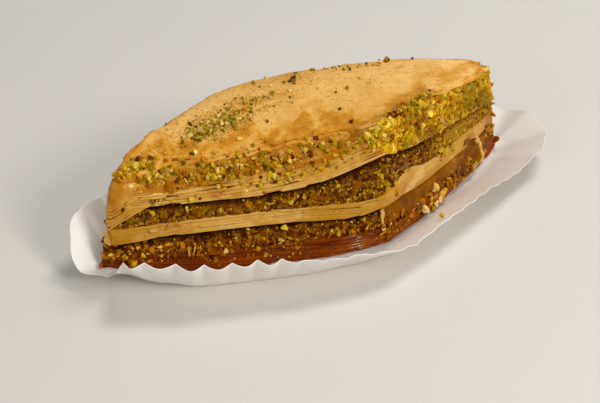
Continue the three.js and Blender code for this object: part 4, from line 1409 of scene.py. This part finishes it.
class BAKLAVA_OT_crown(bpy.types.Operator):
    """The thick top pastry: its stack of sheets, stepped back along the broken front edge, and its crusts"""

    bl_idname = "baklava.crown"
    bl_label = "Crown"

    def execute(self, context):
        c, s = colours(), sizes()
        points, quads, fans, values = sheet_stack(
            crown_foot, dome, s.crown_sheets, seed=513, layer="crown", count=CROWN_ROUND,
            relief=1.4 * s.sheet_relief / MM, groove=0.45, foot_rings=(0.93, 0.8, 0.62, 0.3),
            top_rings=(0.93, 0.75, 0.5), setback=crown_setback, crest=0.9, lip=0.35, calm=crown_calm)
        p, q = plan_share(points)
        front = smooth(-q, 0.6, 0.85)
        tone, rise = values["tone"], values["rise"]
        soaked = (0.6 * tone - 0.1 + 0.4 * rough(points, 8.0, 23, 2) + 0.6 * smooth(p, 0.75, 0.95)
                  + front * smooth(rise, 0.5, 0.75) + 0.5 * smooth(rough(points, 6.0, 24, 2), 0.15, 0.5)
                  + 0.9 * front * smooth(p, 0.05, 0.5) * smooth(rise, 0.3, 0.5)
                  + 0.5 * smooth(-p - q, 1.55, 1.9))
        shade = mix(1.0, clump_shade(points), smooth(p, 0.85, 0.95)[:, None])
        values["paint"] = painted(c.pale_sheet, c.soaked_sheet, unit(soaked)) * shade
        finish = cut_finish("crown sheets", roughness=0.48, coat=0.5, streaks=0.3)
        add_stack("crown_sheets", points, quads, fans, finish, "top_pastry", values)
        baked = crust_finish(c)
        for name, inset, drop, grid in (("top_crust", crust_inset, 0.0, (260, 210)),
                                        ("second_crust", second_inset, 0.5, (150, 120))):
            points, quads, fan, share = crust_sheet(
                inset, lambda p, q, d=drop: dome(p, q) - d, s.crust_thickness / MM, CRUST_SEED, *grid)
            p, q = plan_share(points)
            stain = smooth(rough(points, 9.0, 31, 3), 0.1, 0.6) * smooth(share, 0.5, 0.9)
            stain = unit(stain + 0.8 * smooth(share, 0.93, 1.0) * smooth(rough(points, 6.0, 33), -0.2, 0.4))
            ragged = 1.2 * rough(points * [1.0, 0.4, 1.0], 2.4, 37, 3)
            for at_p, at_q, reach in SYRUP_PATCHES:
                away = np.hypot((p - at_p) / reach, (q - at_q) / (1.8 * reach)) + ragged
                strength = 0.85 if at_p + at_q < 0.6 else 0.45
                stain = np.maximum(stain, strength * (1 - smooth(away, 0.2, 1.3)))
            for more in (0.35 * smooth(rough(points, 2.2, 38, 3), -0.1, 0.45) * smooth(p + q, 0.7, 1.5),
                         0.6 * smooth(rough(points, 3.4, 39, 3), 0.1, 0.5) * (1 - smooth(q, -0.6, -0.2)),
                         smooth(q, 0.86, 1.0) * (0.5 + 0.7 * rough(points, 4.0, 40, 3))):
                stain = np.maximum(stain, more)
            paint = painted(c.crust, c.crust_light, 0.6 * smooth(p + q, 0.2, 1.6))
            paint = toned(paint, 0xDAA03E, 0.55 * (1 - smooth(q, -0.75, -0.3)),
                          0xDA961E, 0.85 * smooth(stain, 0.05, 0.6))
            add_piece(name, points, quads, fan, baked, {"paint": paint, "syrup": 0.8 * stain})
        points, quads, out, ridge = shoulder_crust(CRUST_LIFT, thickness=0.55, seed=131, columns=620, rows=34)
        p, _ = plan_share(points)
        stain = 0.3 * smooth(out, 0.05, 0.5) + 0.8 * rough(points * [0.6, 1, 1], 4.5, 35, 3)
        stain = unit(stain + 0.95 - 0.6 * ridge ** 6 - 0.7 * smooth(p, 0.3, 0.6))
        toasted = unit(0.55 + 0.6 * rough(points, 6.0, 36) - 0.5 * smooth(p, 0.45, 0.75))
        dark = 0.9 * smooth(rough(points * [0.7, 1.0, 1.0], 2.9, 46, 3), 0.06, 0.36)
        dark = dark * (1 - 0.7 * smooth(p, 0.5, 0.7))
        paint = toned(painted(srgb(0xE2AC4C), c.toast, toasted), 0x6A2A02, dark)
        values = {"paint": paint, "syrup": stain * (1 - 0.7 * dark)}
        add_piece("slid_crust", points, quads, None, baked, values)
        return {"FINISHED"}


UPPER_NUTS = [      # (share, 0xRRGGBB) of each colour of bit
    (0.27, 0x985C06), (0.21, 0x723A02), (0.20, 0xB27E0E), (0.07, 0x8E700A), (0.08, 0xD4A828),
    (0.03, 0xF0CE60), (0.13, 0x522204),
]
LOWER_NUTS = [
    (0.30, 0xA25C04), (0.20, 0x7E3A02), (0.16, 0xBC7C0C), (0.09, 0xD8A624), (0.04, 0xF4D270),
    (0.14, 0x521402), (0.07, 0x96700C),
]
CRUMBS = [
    (0.36, 0xCCA214), (0.22, 0xBC860E), (0.17, 0x9E880E), (0.06, 0xE2C850), (0.13, 0xB46A06),
    (0.06, 0x703A04),
]
SHOULDER_CRUMBS = [
    (0.34, 0xCEA51E), (0.16, 0xBA7E0A), (0.2, 0x927A0C), (0.12, 0xE2BE54), (0.1, 0xA85C04), (0.08, 0x682C04),
]
CLUSTER_CRUMBS = [
    (0.3, 0x9E881A), (0.22, 0xC8AA40), (0.18, 0x705A0C), (0.2, 0xF2D886), (0.1, 0xC48C18),
]
CORNER_CRUMBS = [
    (0.36, 0xD6B21C), (0.28, 0xC89610), (0.12, 0xE8CE5C), (0.1, 0xB46A06), (0.14, 0xA48E10),
]
DUST = [
    (0.32, 0xD6AC38), (0.38, 0xE2AC54), (0.18, 0xBA9222), (0.08, 0xECC870), (0.04, 0x8C5414),
]


class BAKLAVA_OT_fillings(bpy.types.Operator):
    """Both fillings: a dark core each and the chopped nuts that show on the cut sides"""

    bl_idname = "baklava.fillings"
    bl_label = "Fillings"

    def execute(self, context):
        paste = core_finish(colours())
        nut = nut_finish("chopped nuts", roughness=0.5, coat=0.6, speckle=0.45)
        for name, foot, top, seed, palette, lit, code in (
            ("lower_filling", bottom_top, middle_foot, 611, LOWER_NUTS, (0.5, 0.7), 0xB26204),
            ("upper_filling", middle_top, crown_foot, 612, UPPER_NUTS, (-0.5, 0.1), 0xBC8812),
        ):
            points, quads, fans, shade_under_pastry = filling_core(foot, top, seed, count=ROUND, rows=24)
            glow = glowing(*plan_share(points), *lit)
            paint = np.tile(srgb(code), (len(points), 1))
            # Painted shade under the pastry above, weaker on the right side where the syrup colour shows.
            values = {"shade_under_pastry": shade_under_pastry * (1 - 0.8 * glow), "glow": glow, "paint": paint}
            add_piece(name + "_core", points, quads, fans, paste, values, [name])
            random = np.random.default_rng(seed)
            for kind, count, least, most, shape in (
                ("nuts", sizes().nuts, 0.6, 2.2, TWENTY_FACES),
                ("large_nuts", LARGE_NUTS, 1.6, 3.4, EIGHTY_FACES),
            ):
                size = chopped_sizes(random, count, least, most)
                middle, turn = filling_places(random, count, size, foot, top, 0.15)
                bits = broken_bits(random, middle, size, shape)
                near = random.random((count, 1)) < 0.8 * glowing(*rim_place(turn), *lit)[:, None]
                tints = np.where(near, toned(pick_colours(random, count, CRUMBS), code, np.full(count, 0.4)),
                                 pick_colours(random, count, palette))
                add_bits(f"{name}_{kind}", bits, tints, nut)
        random = np.random.default_rng(613)
        front, right = FALLEN_NUTS
        turn = np.append(0.17 * random.random(front) ** 1.3, 0.25 + 0.17 * random.random(right))
        count = len(turn)
        size = chopped_sizes(random, count, 0.6, 2.3, 1.6)
        z = food_foot(*rim_place(turn)) + 1.2 + 5.0 * random.random(count) ** 0.6
        middle = raised(cut_side(turn, z, 0.25 + 0.3 * (turn > 0.25) - 0.3 * size), z)
        bits = broken_bits(random, middle, size, TWENTY_FACES)
        add_bits("fallen_nuts", bits, pick_colours(random, count, LOWER_NUTS), nut)
        return {"FINISHED"}


CLUSTER_PATCHES = (      # (p, q, reach in p, reach in q, slant, share of the crumbs) of patches on the top
    (-0.50, -0.34, 0.22, 0.26, 0.0, 0.16), (-0.50, 0.10, 0.55, 0.70, 0.0, 0.03),
    (-0.48, 0.05, 0.10, 0.08, 0.0, 0.02), (-0.42, 0.47, 0.05, 0.08, 0.0, 0.008),
    (-0.30, 0.80, 0.60, 0.10, 0.0, 0.025),
)
EDGE_PATCHES = (
    (-0.84, -0.80, 0.12, 0.14, 0.3, 0.07), (-0.70, -0.86, 0.24, 0.09, 0.0, 0.07),
    (-0.15, -0.86, 0.24, 0.12, 0.0, 0.06), (-0.30, -0.92, 0.40, 0.07, 0.0, 0.04),
    (0.12, -0.93, 0.20, 0.06, 0.0, 0.02), (0.55, -0.88, 0.20, 0.08, 0.0, 0.016),
    (0.32, -0.90, 0.34, 0.10, 0.0, 0.035), (0.93, -0.55, 0.06, 0.36, 0.0, 0.06),
)
DUST_PATCHES = (      # the same, with the number of grains
    (-0.50, -0.32, 0.28, 0.34, 0.0, 2600), (-0.86, -0.76, 0.16, 0.22, 0.2, 900),
    (-0.10, -0.88, 0.95, 0.12, 0.0, 1300), (-0.46, 0.06, 0.18, 0.14, 0.0, 350),
    (0.90, -0.50, 0.12, 0.45, 0.0, 900), (-0.45, 0.20, 0.60, 0.80, 0.0, 500), (0.2, 0.1, 1.1, 1.1, 0.0, 350),
)
# Crumbs along the crown's cut sides: count, two turns, two shares of the height and how far they stand out.
FRONT_RUNS = ((90, 0.008, 0.2, 0.05, 0.75, -0.1), (90, 0.11, 0.2, 0.6, 0.98, -0.15))
CORNER_RUNS = ((100, 0.215, 0.249, 0.3, 1.0, -0.1), (40, 0.12, 0.215, 0.4, 1.0, -0.1))


def side_tints(tints, middle):
    """Colours of the crumbs on the right side: more alike towards its far end, and in darker clumps."""
    far = smooth(plan_share(middle)[1], -0.4, 0.4)[:, None]
    return mix(tints, tints.mean(0), 0.55 * far) * clump_shade(middle)


class BAKLAVA_OT_crumbs(bpy.types.Operator):
    """Crumbs and pistachio dust on the crown"""

    bl_idname = "baklava.crumbs"
    bl_label = "Crumbs"

    def execute(self, context):
        nut = nut_finish("pistachio crumbs", roughness=0.6, coat=0.12, speckle=0.3)
        random = np.random.default_rng(71)
        many = sizes().crumbs

        def patches(table):
            return [(*place, int(share * many)) for *place, share in table]

        cluster = patch_places(random, patches(CLUSTER_PATCHES), 0.15)
        top = patch_places(random, patches(EDGE_PATCHES), 0.2)
        side = side_places(random, int(0.75 * many), 0.252, 0.49, 0.05, 0.92, -0.15)
        front, corner = (np.concatenate([side_places(random, *row) for row in table])
                         for table in (FRONT_RUNS, CORNER_RUNS))
        found, tints = [], []
        for middle, least, most, power, palette in (
            (cluster, 0.4, 1.8, 1.8, CLUSTER_CRUMBS), (top, 0.7, 2.3, 1.7, SHOULDER_CRUMBS),
            (side, 0.7, 3.0, 1.5, CRUMBS), (corner, 0.7, 2.4, 1.6, CORNER_CRUMBS),
            (front, 0.4, 1.6, 1.8, SHOULDER_CRUMBS),
        ):
            found.append((middle, chopped_sizes(random, len(middle), least, most, power)))
            tints.append(pick_colours(random, len(middle), palette))
        tints[2] = side_tints(tints[2], side)
        middle, size = (np.concatenate(column) for column in zip(*found))
        bits = broken_bits(random, middle, size, TWENTY_FACES)
        add_bits("crown_crumbs", bits, np.concatenate(tints), nut)

        dust = patch_places(random, DUST_PATCHES, 0.05)
        sides = side_places(random, SIDE_DUST, 0.251, 0.49, 0.02, 0.9, 0.05)
        size = chopped_sizes(random, len(dust) + len(sides), 0.16, 0.55, 1.6)
        bits = broken_bits(random, np.concatenate([dust, sides]), size, EIGHT_FACES, cuts=2)
        tints = [pick_colours(random, len(dust), DUST, 0.12),
                 side_tints(pick_colours(random, len(sides), CRUMBS), sides)]
        add_bits("pistachio_dust", bits, np.concatenate(tints), nut)
        return {"FINISHED"}


FRONT_BITS = (      # (p, height, size in mm, colour) of single bits on the front side
    (-0.35, 20.6, 2.4, 0xDEBE32), (0.285, 10.15, 2.5, 0xE8C83C), (0.668, 6.9, 2.0, 0xD8A424),
    (0.846, 9.65, 1.8, 0xD8B82C), (-0.69, 6.5, 2.3, 0xE4BE24), (-0.72, 9.0, 1.6, 0xD2AA28),
    (0.425, 18.6, 1.7, 0xCC961E), (0.335, 17.0, 1.9, 0xDEB82C), (-0.153, 16.85, 2.0, 0xE4C454),
    (-0.75, 19.4, 1.8, 0xD4A41E), (-0.62, 18.2, 1.6, 0xCEA01E), (-0.42, 8.4, 1.8, 0xCE780A),
    (-0.30, 7.2, 1.6, 0xC89618), (0.10, 8.6, 2.2, 0xBE820E), (-0.88, 6.9, 2.0, 0xAC6008),
    (-0.985, 4.6, 2.2, 0xA85404),
)
RIGHT_BITS = (      # (q, height, size in mm, colour) of single bits on the right side
    (-0.51, 29.6, 2.4, 0xEECE3C), (-0.87, 31.6, 2.0, 0xF0D046), (-0.80, 32.2, 1.7, 0xE2C43C),
    (-0.39, 3.1, 3.0, 0xF4D682), (-0.2, 6.6, 2.4, 0xEECE64), (-0.22, 2.1, 2.3, 0xF4D86E),
    (-0.30, 4.6, 2.2, 0xD6961E), (-0.12, 3.6, 2.4, 0xE8BE46), (-0.45, 6.0, 2.0, 0xC4780E),
    (-0.62, 4.4, 2.2, 0xBE6A08), (-0.75, 7.4, 2.2, 0xB0680A), (0.02, 5.6, 2.0, 0xCE9628),
    (-0.14, 17.0, 1.9, 0xCEAA1E), (-0.59, 21.1, 1.9, 0xB06C0C), (-0.10, 15.4, 1.7, 0xC4A018),
    (0.93, 5.6, 2.4, 0x965406), (0.965, 17.6, 2.6, 0xCE7E0A), (0.975, 14.2, 2.3, 0xC47008),
    (0.94, 20.4, 2.2, 0xD49214), (0.02, 14.4, 1.8, 0xD2B01C), (-0.05, 16.2, 2.2, 0xD6B21E),
    (0.05, 15.6, 1.6, 0xB69610), (0.10, 13.6, 1.4, 0xDCBE38), (-0.08, 14.9, 1.5, 0xC49614),
    (-0.02, 18.2, 1.6, 0xB09614), (-0.24, 7.3, 2.7, 0xE4B460), (-0.31, 6.2, 2.5, 0xD6A03E),
    (-0.22, 4.4, 2.2, 0xD0942E), (-0.16, 2.3, 2.3, 0xF6CC86), (-0.10, 1.9, 2.0, 0xB8980E),
    (-0.31, 3.4, 2.5, 0xD0962A), (-0.27, 1.7, 2.4, 0xC69A0E), (-0.57, 5.6, 1.9, 0xC47628),
    (-0.93, 19.2, 2.0, 0xC69C12), (-0.92, 17.4, 1.9, 0xC0900C), (-0.85, 17.6, 1.9, 0xCA9814),
    (-0.83, 15.7, 2.0, 0xBE8808), (-0.82, 14.1, 1.7, 0xB68208),
)
TOP_BITS = (      # (p, q, size in mm, colour) of single bits on the top
    (-0.045, -0.777, 1.7, 0xF4D68C), (0.133, -0.911, 1.5, 0xBEA01E), (0.31, -0.923, 2.0, 0x541604),
    (-0.087, -0.879, 1.6, 0xF0CE78), (-0.139, -0.407, 1.3, 0x542608), (-0.424, 0.49, 1.9, 0x483A0C),
    (-0.36, 0.40, 1.3, 0x786414), (0.144, -0.008, 0.9, 0x5A2C08), (-0.07, 0.63, 1.3, 0x6E3C0E),
    (0.05, 0.96, 2.5, 0x422C0A), (0.075, 0.90, 2.3, 0xCE8C10), (0.02, 0.90, 1.8, 0xC4780C),
    (0.176, 0.087, 1.0, 0x78420A), (0.362, -0.385, 1.1, 0x643008), (-0.188, -0.006, 0.9, 0x603C0C),
    (-0.115, -0.117, 0.8, 0x6E3E0A), (0.19, 0.07, 1.3, 0xAA8214), (0.25, 0.97, 1.2, 0x783C0A),
    (-0.62, 0.40, 1.0, 0x8C6E14), (-0.756, -0.251, 1.2, 0x5A320A), (-0.59, -0.074, 1.5, 0x967E14),
    (-0.333, -0.457, 1.2, 0xA07814), (-0.209, -0.624, 1.6, 0xE8C446), (0.60, -0.70, 1.4, 0x5A1E06),
    (-0.524, -0.856, 2.0, 0x6E5808), (-0.479, -0.904, 2.2, 0x58420A), (-0.504, -0.78, 1.8, 0x62540E),
    (-0.481, -0.722, 1.5, 0x5C3406), (-0.043, -0.822, 1.9, 0x604C0C), (0.139, -0.948, 2.0, 0x78600C),
    (0.20, -0.975, 2.2, 0x685008), (-0.586, -0.802, 1.6, 0x806C0E), (-0.758, -0.886, 1.6, 0x843E02),
    (-0.398, -0.816, 1.4, 0x6E3A04), (-0.286, -0.849, 1.2, 0x965406), (-0.207, -0.793, 1.2, 0x623404),
)
# Place, size and colour of the bit on the paper's front wall.
PAPER_CRUMB = (29.4, -19.0, 6.9, 1.9, 0xCEAA28)


class BAKLAVA_OT_single_bits(bpy.types.Operator):
    """The largest single bits of nut, where they lie"""

    bl_idname = "baklava.single_bits"
    bl_label = "Single bits"

    def execute(self, context):
        random = np.random.default_rng(77)
        places = []
        for side, rows, proud in (("front", FRONT_BITS, 0.3), ("right", RIGHT_BITS, 0.65)):
            value, height, across = np.array(rows).T[:3]
            places.append(side_spot(side, value, height, proud - 0.15 * across)[0])
        p, q, across = np.array(TOP_BITS).T[:3]
        places += [raised(plan_point(p, q), crown_top(p, q) + 0.25 * across), [PAPER_CRUMB[:3]]]
        size, codes = zip(*(row[2:] for row in FRONT_BITS + RIGHT_BITS + TOP_BITS), PAPER_CRUMB[3:])
        bits = broken_bits(
            random, np.concatenate(places), np.array(size), EIGHTY_FACES, squash=(0.65, 1.0), cuts=11)
        nut = nut_finish("large nut bits", roughness=0.45, coat=0.6, speckle=0.2)
        add_bits("single_nut_bits", bits, [srgb(code) for code in codes], nut)
        return {"FINISHED"}


TORN_SHEETS = (      # side, p or q, height, lean along the side, length, width, curl, warmth of colour
    ("right", -0.985, 9.9, 0.05, 5.0, 1.0, 0.3, 0.0), ("front", -0.38, 6.8, 0.05, 3.2, 0.4, 0.2, 0.2),
    ("front", -0.34, 7.4, -0.3, 2.4, 0.35, 0.2, 0.1), ("right", -0.15, 26.0, 1.2, 6.0, 1.8, 0.4, 0.5),
    ("right", 0.75, 12.0, 0.3, 3.0, 1.3, 0.6, 1.0), ("right", 0.96, 27.0, 0.6, 3.0, 1.6, 0.5, 0.7),
    ("front", 0.55, 3.6, 3.0, 8.0, 0.8, 0.1, 0.8), ("right", 0.88, 25.5, 1.5, 2.8, 1.6, 0.8, 0.5),
    ("right", 0.99, 23.0, 0.3, 2.6, 1.6, 0.9, 0.8), ("right", 0.80, 28.0, 2.0, 3.0, 1.4, 0.7, 0.5),
    ("front", -0.985, 12.8, 0.3, 3.0, 1.8, 0.4, -0.3), ("front", -0.97, 11.4, 0.6, 2.6, 1.5, 0.4, -0.3),
    ("front", 0.20, 3.2, 3.0, 9.0, 0.7, 0.1, 0.9),
)
# The sheet that lies down the slope over tip A: height, its two directions, length, width, curl and warmth.
SHEET_OVER_TIP = (27.2, 1.17, -2.2, -2.37, 1.0, 0.3, 0.2, 3.6, 1.2, -0.2, 1.0)


LAYERS = (      # foot, top and the shares of the height between which loose flakes lie
    (crown_foot, crown_top, (0.2, 0.95)), (middle_foot, middle_top, (0.0, 1.0)),
    (food_foot, bottom_top, (0.0, 1.0)),
)


class BAKLAVA_OT_flakes(bpy.types.Operator):
    """Loose flakes of pastry, the sheets hanging round the left tip and the torn sheets on the right side"""

    bl_idname = "baklava.flakes"
    bl_label = "Flakes"

    def execute(self, context):
        c = colours()
        finish = cut_finish("thin flakes", roughness=0.4, coat=0.6, streaks=0.4)
        hanging = cut_finish(
            "hanging sheets", roughness=0.35, coat=0.8, streaks=0.15, depth_mm=0.3, lines=0.1)
        points, quads, leaf, rise, shade, aside = tip_curtain(
            leaves=6, columns=140, rows=40, thickness=0.2, seed=900)
        warm = 0.45 + 0.8 * rough(points, 3.0, 41) + 0.5 * smooth(points[:, 2], 19.5, 23.0) - 0.15 * leaf
        warm = unit(warm * (1 - 0.8 * smooth(aside, 0.5, 0.85)))
        values = {"paint": painted(srgb(0xD8A242), srgb(0xB46802), warm), "rise": 0.5 * rise,
                  "gap": 0.8 * shade * (1 - smooth(aside, 0.55, 0.8))}
        add_piece("tip_sheets", points, quads, None, hanging, values)

        random = np.random.default_rng(78)
        count = LOOSE_FLAKES
        turn = 0.004 + 0.49 * random.random(count)
        p, q = rim_place(turn)
        level = random.random(count)
        heights = [mix(foot(p, q), top(p, q), mix(*shares, random.random(count)))
                   for foot, top, shares in LAYERS]
        z = np.select([level < 0.55, level < 0.8], heights[:2], heights[2])
        out = outward(outline, turn)
        along = raised(quarter_left(out), 0.25 * random.normal(size=count))
        upward = raised(0.5 * out * random.normal(size=(count, 1)), 1)
        size = 0.8 + 2.2 * random.random(count) ** 2
        middle = raised(cut_side(turn, z, 0.12), z)
        curl = 0.12 * size * random.normal(size=count)
        points, quads, each = flakes(
            middle, along, upward, size, 0.35 * size + 0.2, curl, thickness=0.08, seed=79)
        share = np.repeat(unit(0.5 + 0.4 * random.normal(size=count)), each)
        values = {"paint": painted(c.pale_sheet, c.soaked_sheet, share), "gap": 0 * share}
        add_piece("loose_flakes", points, quads, None, finish, values)

        rows = []
        for side, value, height, lean, *numbers in TORN_SHEETS:
            middle, along, out = side_spot(side, value, height, 0.45)
            rows.append((*middle, *(lean * along - [0, 0, 1]), *(along + 0.15 * out), *numbers))
        rows = np.array([*rows, (*plan_point(-0.766, -0.864), *SHEET_OVER_TIP)])
        points, quads, each = flakes(rows[:, :3], rows[:, 3:6], rows[:, 6:9], *rows.T[9:12],
                                     thickness=0.12, seed=83, cols=44, rows=20)
        share = unit(np.repeat(rows[:, 12], each) + 0.3 * rough(points, 2.0, 42))
        values = {"paint": painted(c.pale_sheet, c.bottom_orange_and_sheen, share), "gap": 0 * share}
        add_piece("torn_sheets", points, quads, None, finish, values)

        points, quads, edge = peeled_patch(columns=300, rows=60, thickness=0.14, seed=87)
        dark = unit(0.5 + 0.9 * rough(points, 4.5, 43, 3))
        pale = unit(smooth(edge + 0.02 * rough(points, 1.6, 45, 2), 0.965, 0.985)
                    + 0.5 * smooth(rough(points, 3.0, 44, 2), 0.25, 0.5))
        paint = toned(painted(srgb(0x965C03), srgb(0x642E00), dark), 0xE2B260, pale * smooth(edge, 0.6, 0.9))
        values = {"paint": paint, "gap": 0 * dark}
        # Streaks of painted sheen in the soaked colour.
        wet = sheet_finish("soaked flake", c.soaked_sheet, c.paste_dark, c.gap_shade, roughness=0.42,
                           coat=0.15, streaks=0.3, depth_mm=0.4, lines=0.0, sheen=0.08)
        add_piece("peeled_sheet", points, quads, None, wet, values)
        return {"FINISHED"}


class BAKLAVA_OT_paper_case(bpy.types.Operator):
    """The opened-out fluted paper case"""

    bl_idname = "baklava.paper_case"
    bl_label = "Paper case"

    def execute(self, context):
        thickness = sizes().paper_thickness / MM
        points, quads, fans, values = paper_shell(
            count_per_flute=16, base_rings=9, wall_rings=12, thickness=thickness)
        add_stack("paper_shell", points, quads, fans, paper_finish(colours()), "paper_case", values)
        return {"FINISHED"}


CAMERA_PLACE = (-0.060561, -0.263294, 0.172816)
CAMERA_AIM = (0.16623, 0.83116, -0.53060)


class BAKLAVA_OT_stage(bpy.types.Operator):
    """Camera, plain pale floor and soft studio light"""

    bl_idname = "baklava.stage"
    bl_label = "Stage"

    def execute(self, context):
        scene = context.scene
        s = scene.baklava_stage
        data = bpy.data.cameras.new("camera")
        data.lens, data.sensor_width, data.sensor_fit = s.focal_length, 36.0, "HORIZONTAL"
        data.clip_start, data.clip_end = 0.01, 20.0
        camera = placed("camera", data)
        aim = np.array(CAMERA_AIM) / np.linalg.norm(CAMERA_AIM)
        right = np.cross(aim, [0, 0, 1])
        right /= np.linalg.norm(right)
        turn = np.column_stack([right, np.cross(right, aim), -aim, CAMERA_PLACE])
        camera.matrix_world = Matrix([*turn, [0, 0, 0, 1]])
        scene.camera = camera

        half = 0.5 * s.floor_size
        mesh = bpy.data.meshes.new("floor")
        corners = [(-half, -half, 0), (half, -half, 0), (half, half, 0), (-half, half, 0)]
        mesh.from_pydata(corners, [], [(0, 1, 2, 3)])
        mesh.materials.append(plain_finish("plain floor", colours().floor, 0.55))
        placed("floor", mesh)

        for name, at, size, power, tint in (
            ("window light", (0.35, 0.25, 0.78), 0.3, s.key_power, (1.0, 0.98, 0.95)),
            ("fill light", (0.42, -0.62, 0.5), 0.25, s.fill_power, (1.0, 0.97, 0.94)),
            ("left light", (-0.6, -0.5, 0.45), 0.3, s.left_power, (1.0, 0.98, 0.95)),
        ):
            light = bpy.data.lights.new(name, "AREA")
            light.shape = "SQUARE"
            light.size, light.energy, light.color = size, power, tint
            lamp = placed(name, light)
            lamp.location = at
            lamp.rotation_euler = Vector(at).to_track_quat("Z", "Y").to_euler()

        world = bpy.data.worlds.new("studio")
        world.use_nodes = True
        ground = world.node_tree.nodes["Background"]
        ground.inputs["Color"].default_value = (1.0, 0.99, 0.975, 1)
        ground.inputs["Strength"].default_value = s.sky
        scene.world = world
        scene.view_settings.view_transform = "Standard"
        return {"FINISHED"}


class BAKLAVA_PT_panel(bpy.types.Panel):
    """Lists the pieces and their sizes and colours"""

    bl_label = "Baklava"
    bl_idname = "BAKLAVA_PT_panel"
    bl_space_type = "VIEW_3D"
    bl_region_type = "UI"
    bl_category = "Baklava"

    def draw(self, context):
        for operator in PIECES:
            self.layout.operator(operator.bl_idname)
        scene = context.scene
        for group in (scene.baklava_sizes, scene.baklava_stage, scene.baklava_colours):
            box = self.layout.box()
            for key in group.bl_rna.properties.keys():
                if key not in ("rna_type", "name"):
                    box.prop(group, key)


GROUPS = (
    ("baklava_colours", BaklavaColours),
    ("baklava_sizes", BaklavaSizes),
    ("baklava_stage", BaklavaStage),
)
PIECES = (
    BAKLAVA_OT_bottom_pastry,
    BAKLAVA_OT_middle_pastry,
    BAKLAVA_OT_crown,
    BAKLAVA_OT_fillings,
    BAKLAVA_OT_crumbs,
    BAKLAVA_OT_single_bits,
    BAKLAVA_OT_flakes,
    BAKLAVA_OT_paper_case,
    BAKLAVA_OT_stage,
)


def register():
    for name, group in GROUPS:
        bpy.utils.register_class(group)
        setattr(bpy.types.Scene, name, bpy.props.PointerProperty(type=group))
    for entry in (*PIECES, BAKLAVA_PT_panel):
        bpy.utils.register_class(entry)


def unregister():
    for entry in (BAKLAVA_PT_panel, *reversed(PIECES)):
        bpy.utils.unregister_class(entry)
    for name, group in reversed(GROUPS):
        delattr(bpy.types.Scene, name)
        bpy.utils.unregister_class(group)


def main():
    register()
    for operator in PIECES:
        space, name = operator.bl_idname.split(".")
        if getattr(getattr(bpy.ops, space), name)() != {"FINISHED"}:
            raise RuntimeError(f"{operator.bl_label} wasn't made")


if __name__ == "__main__":
    main()
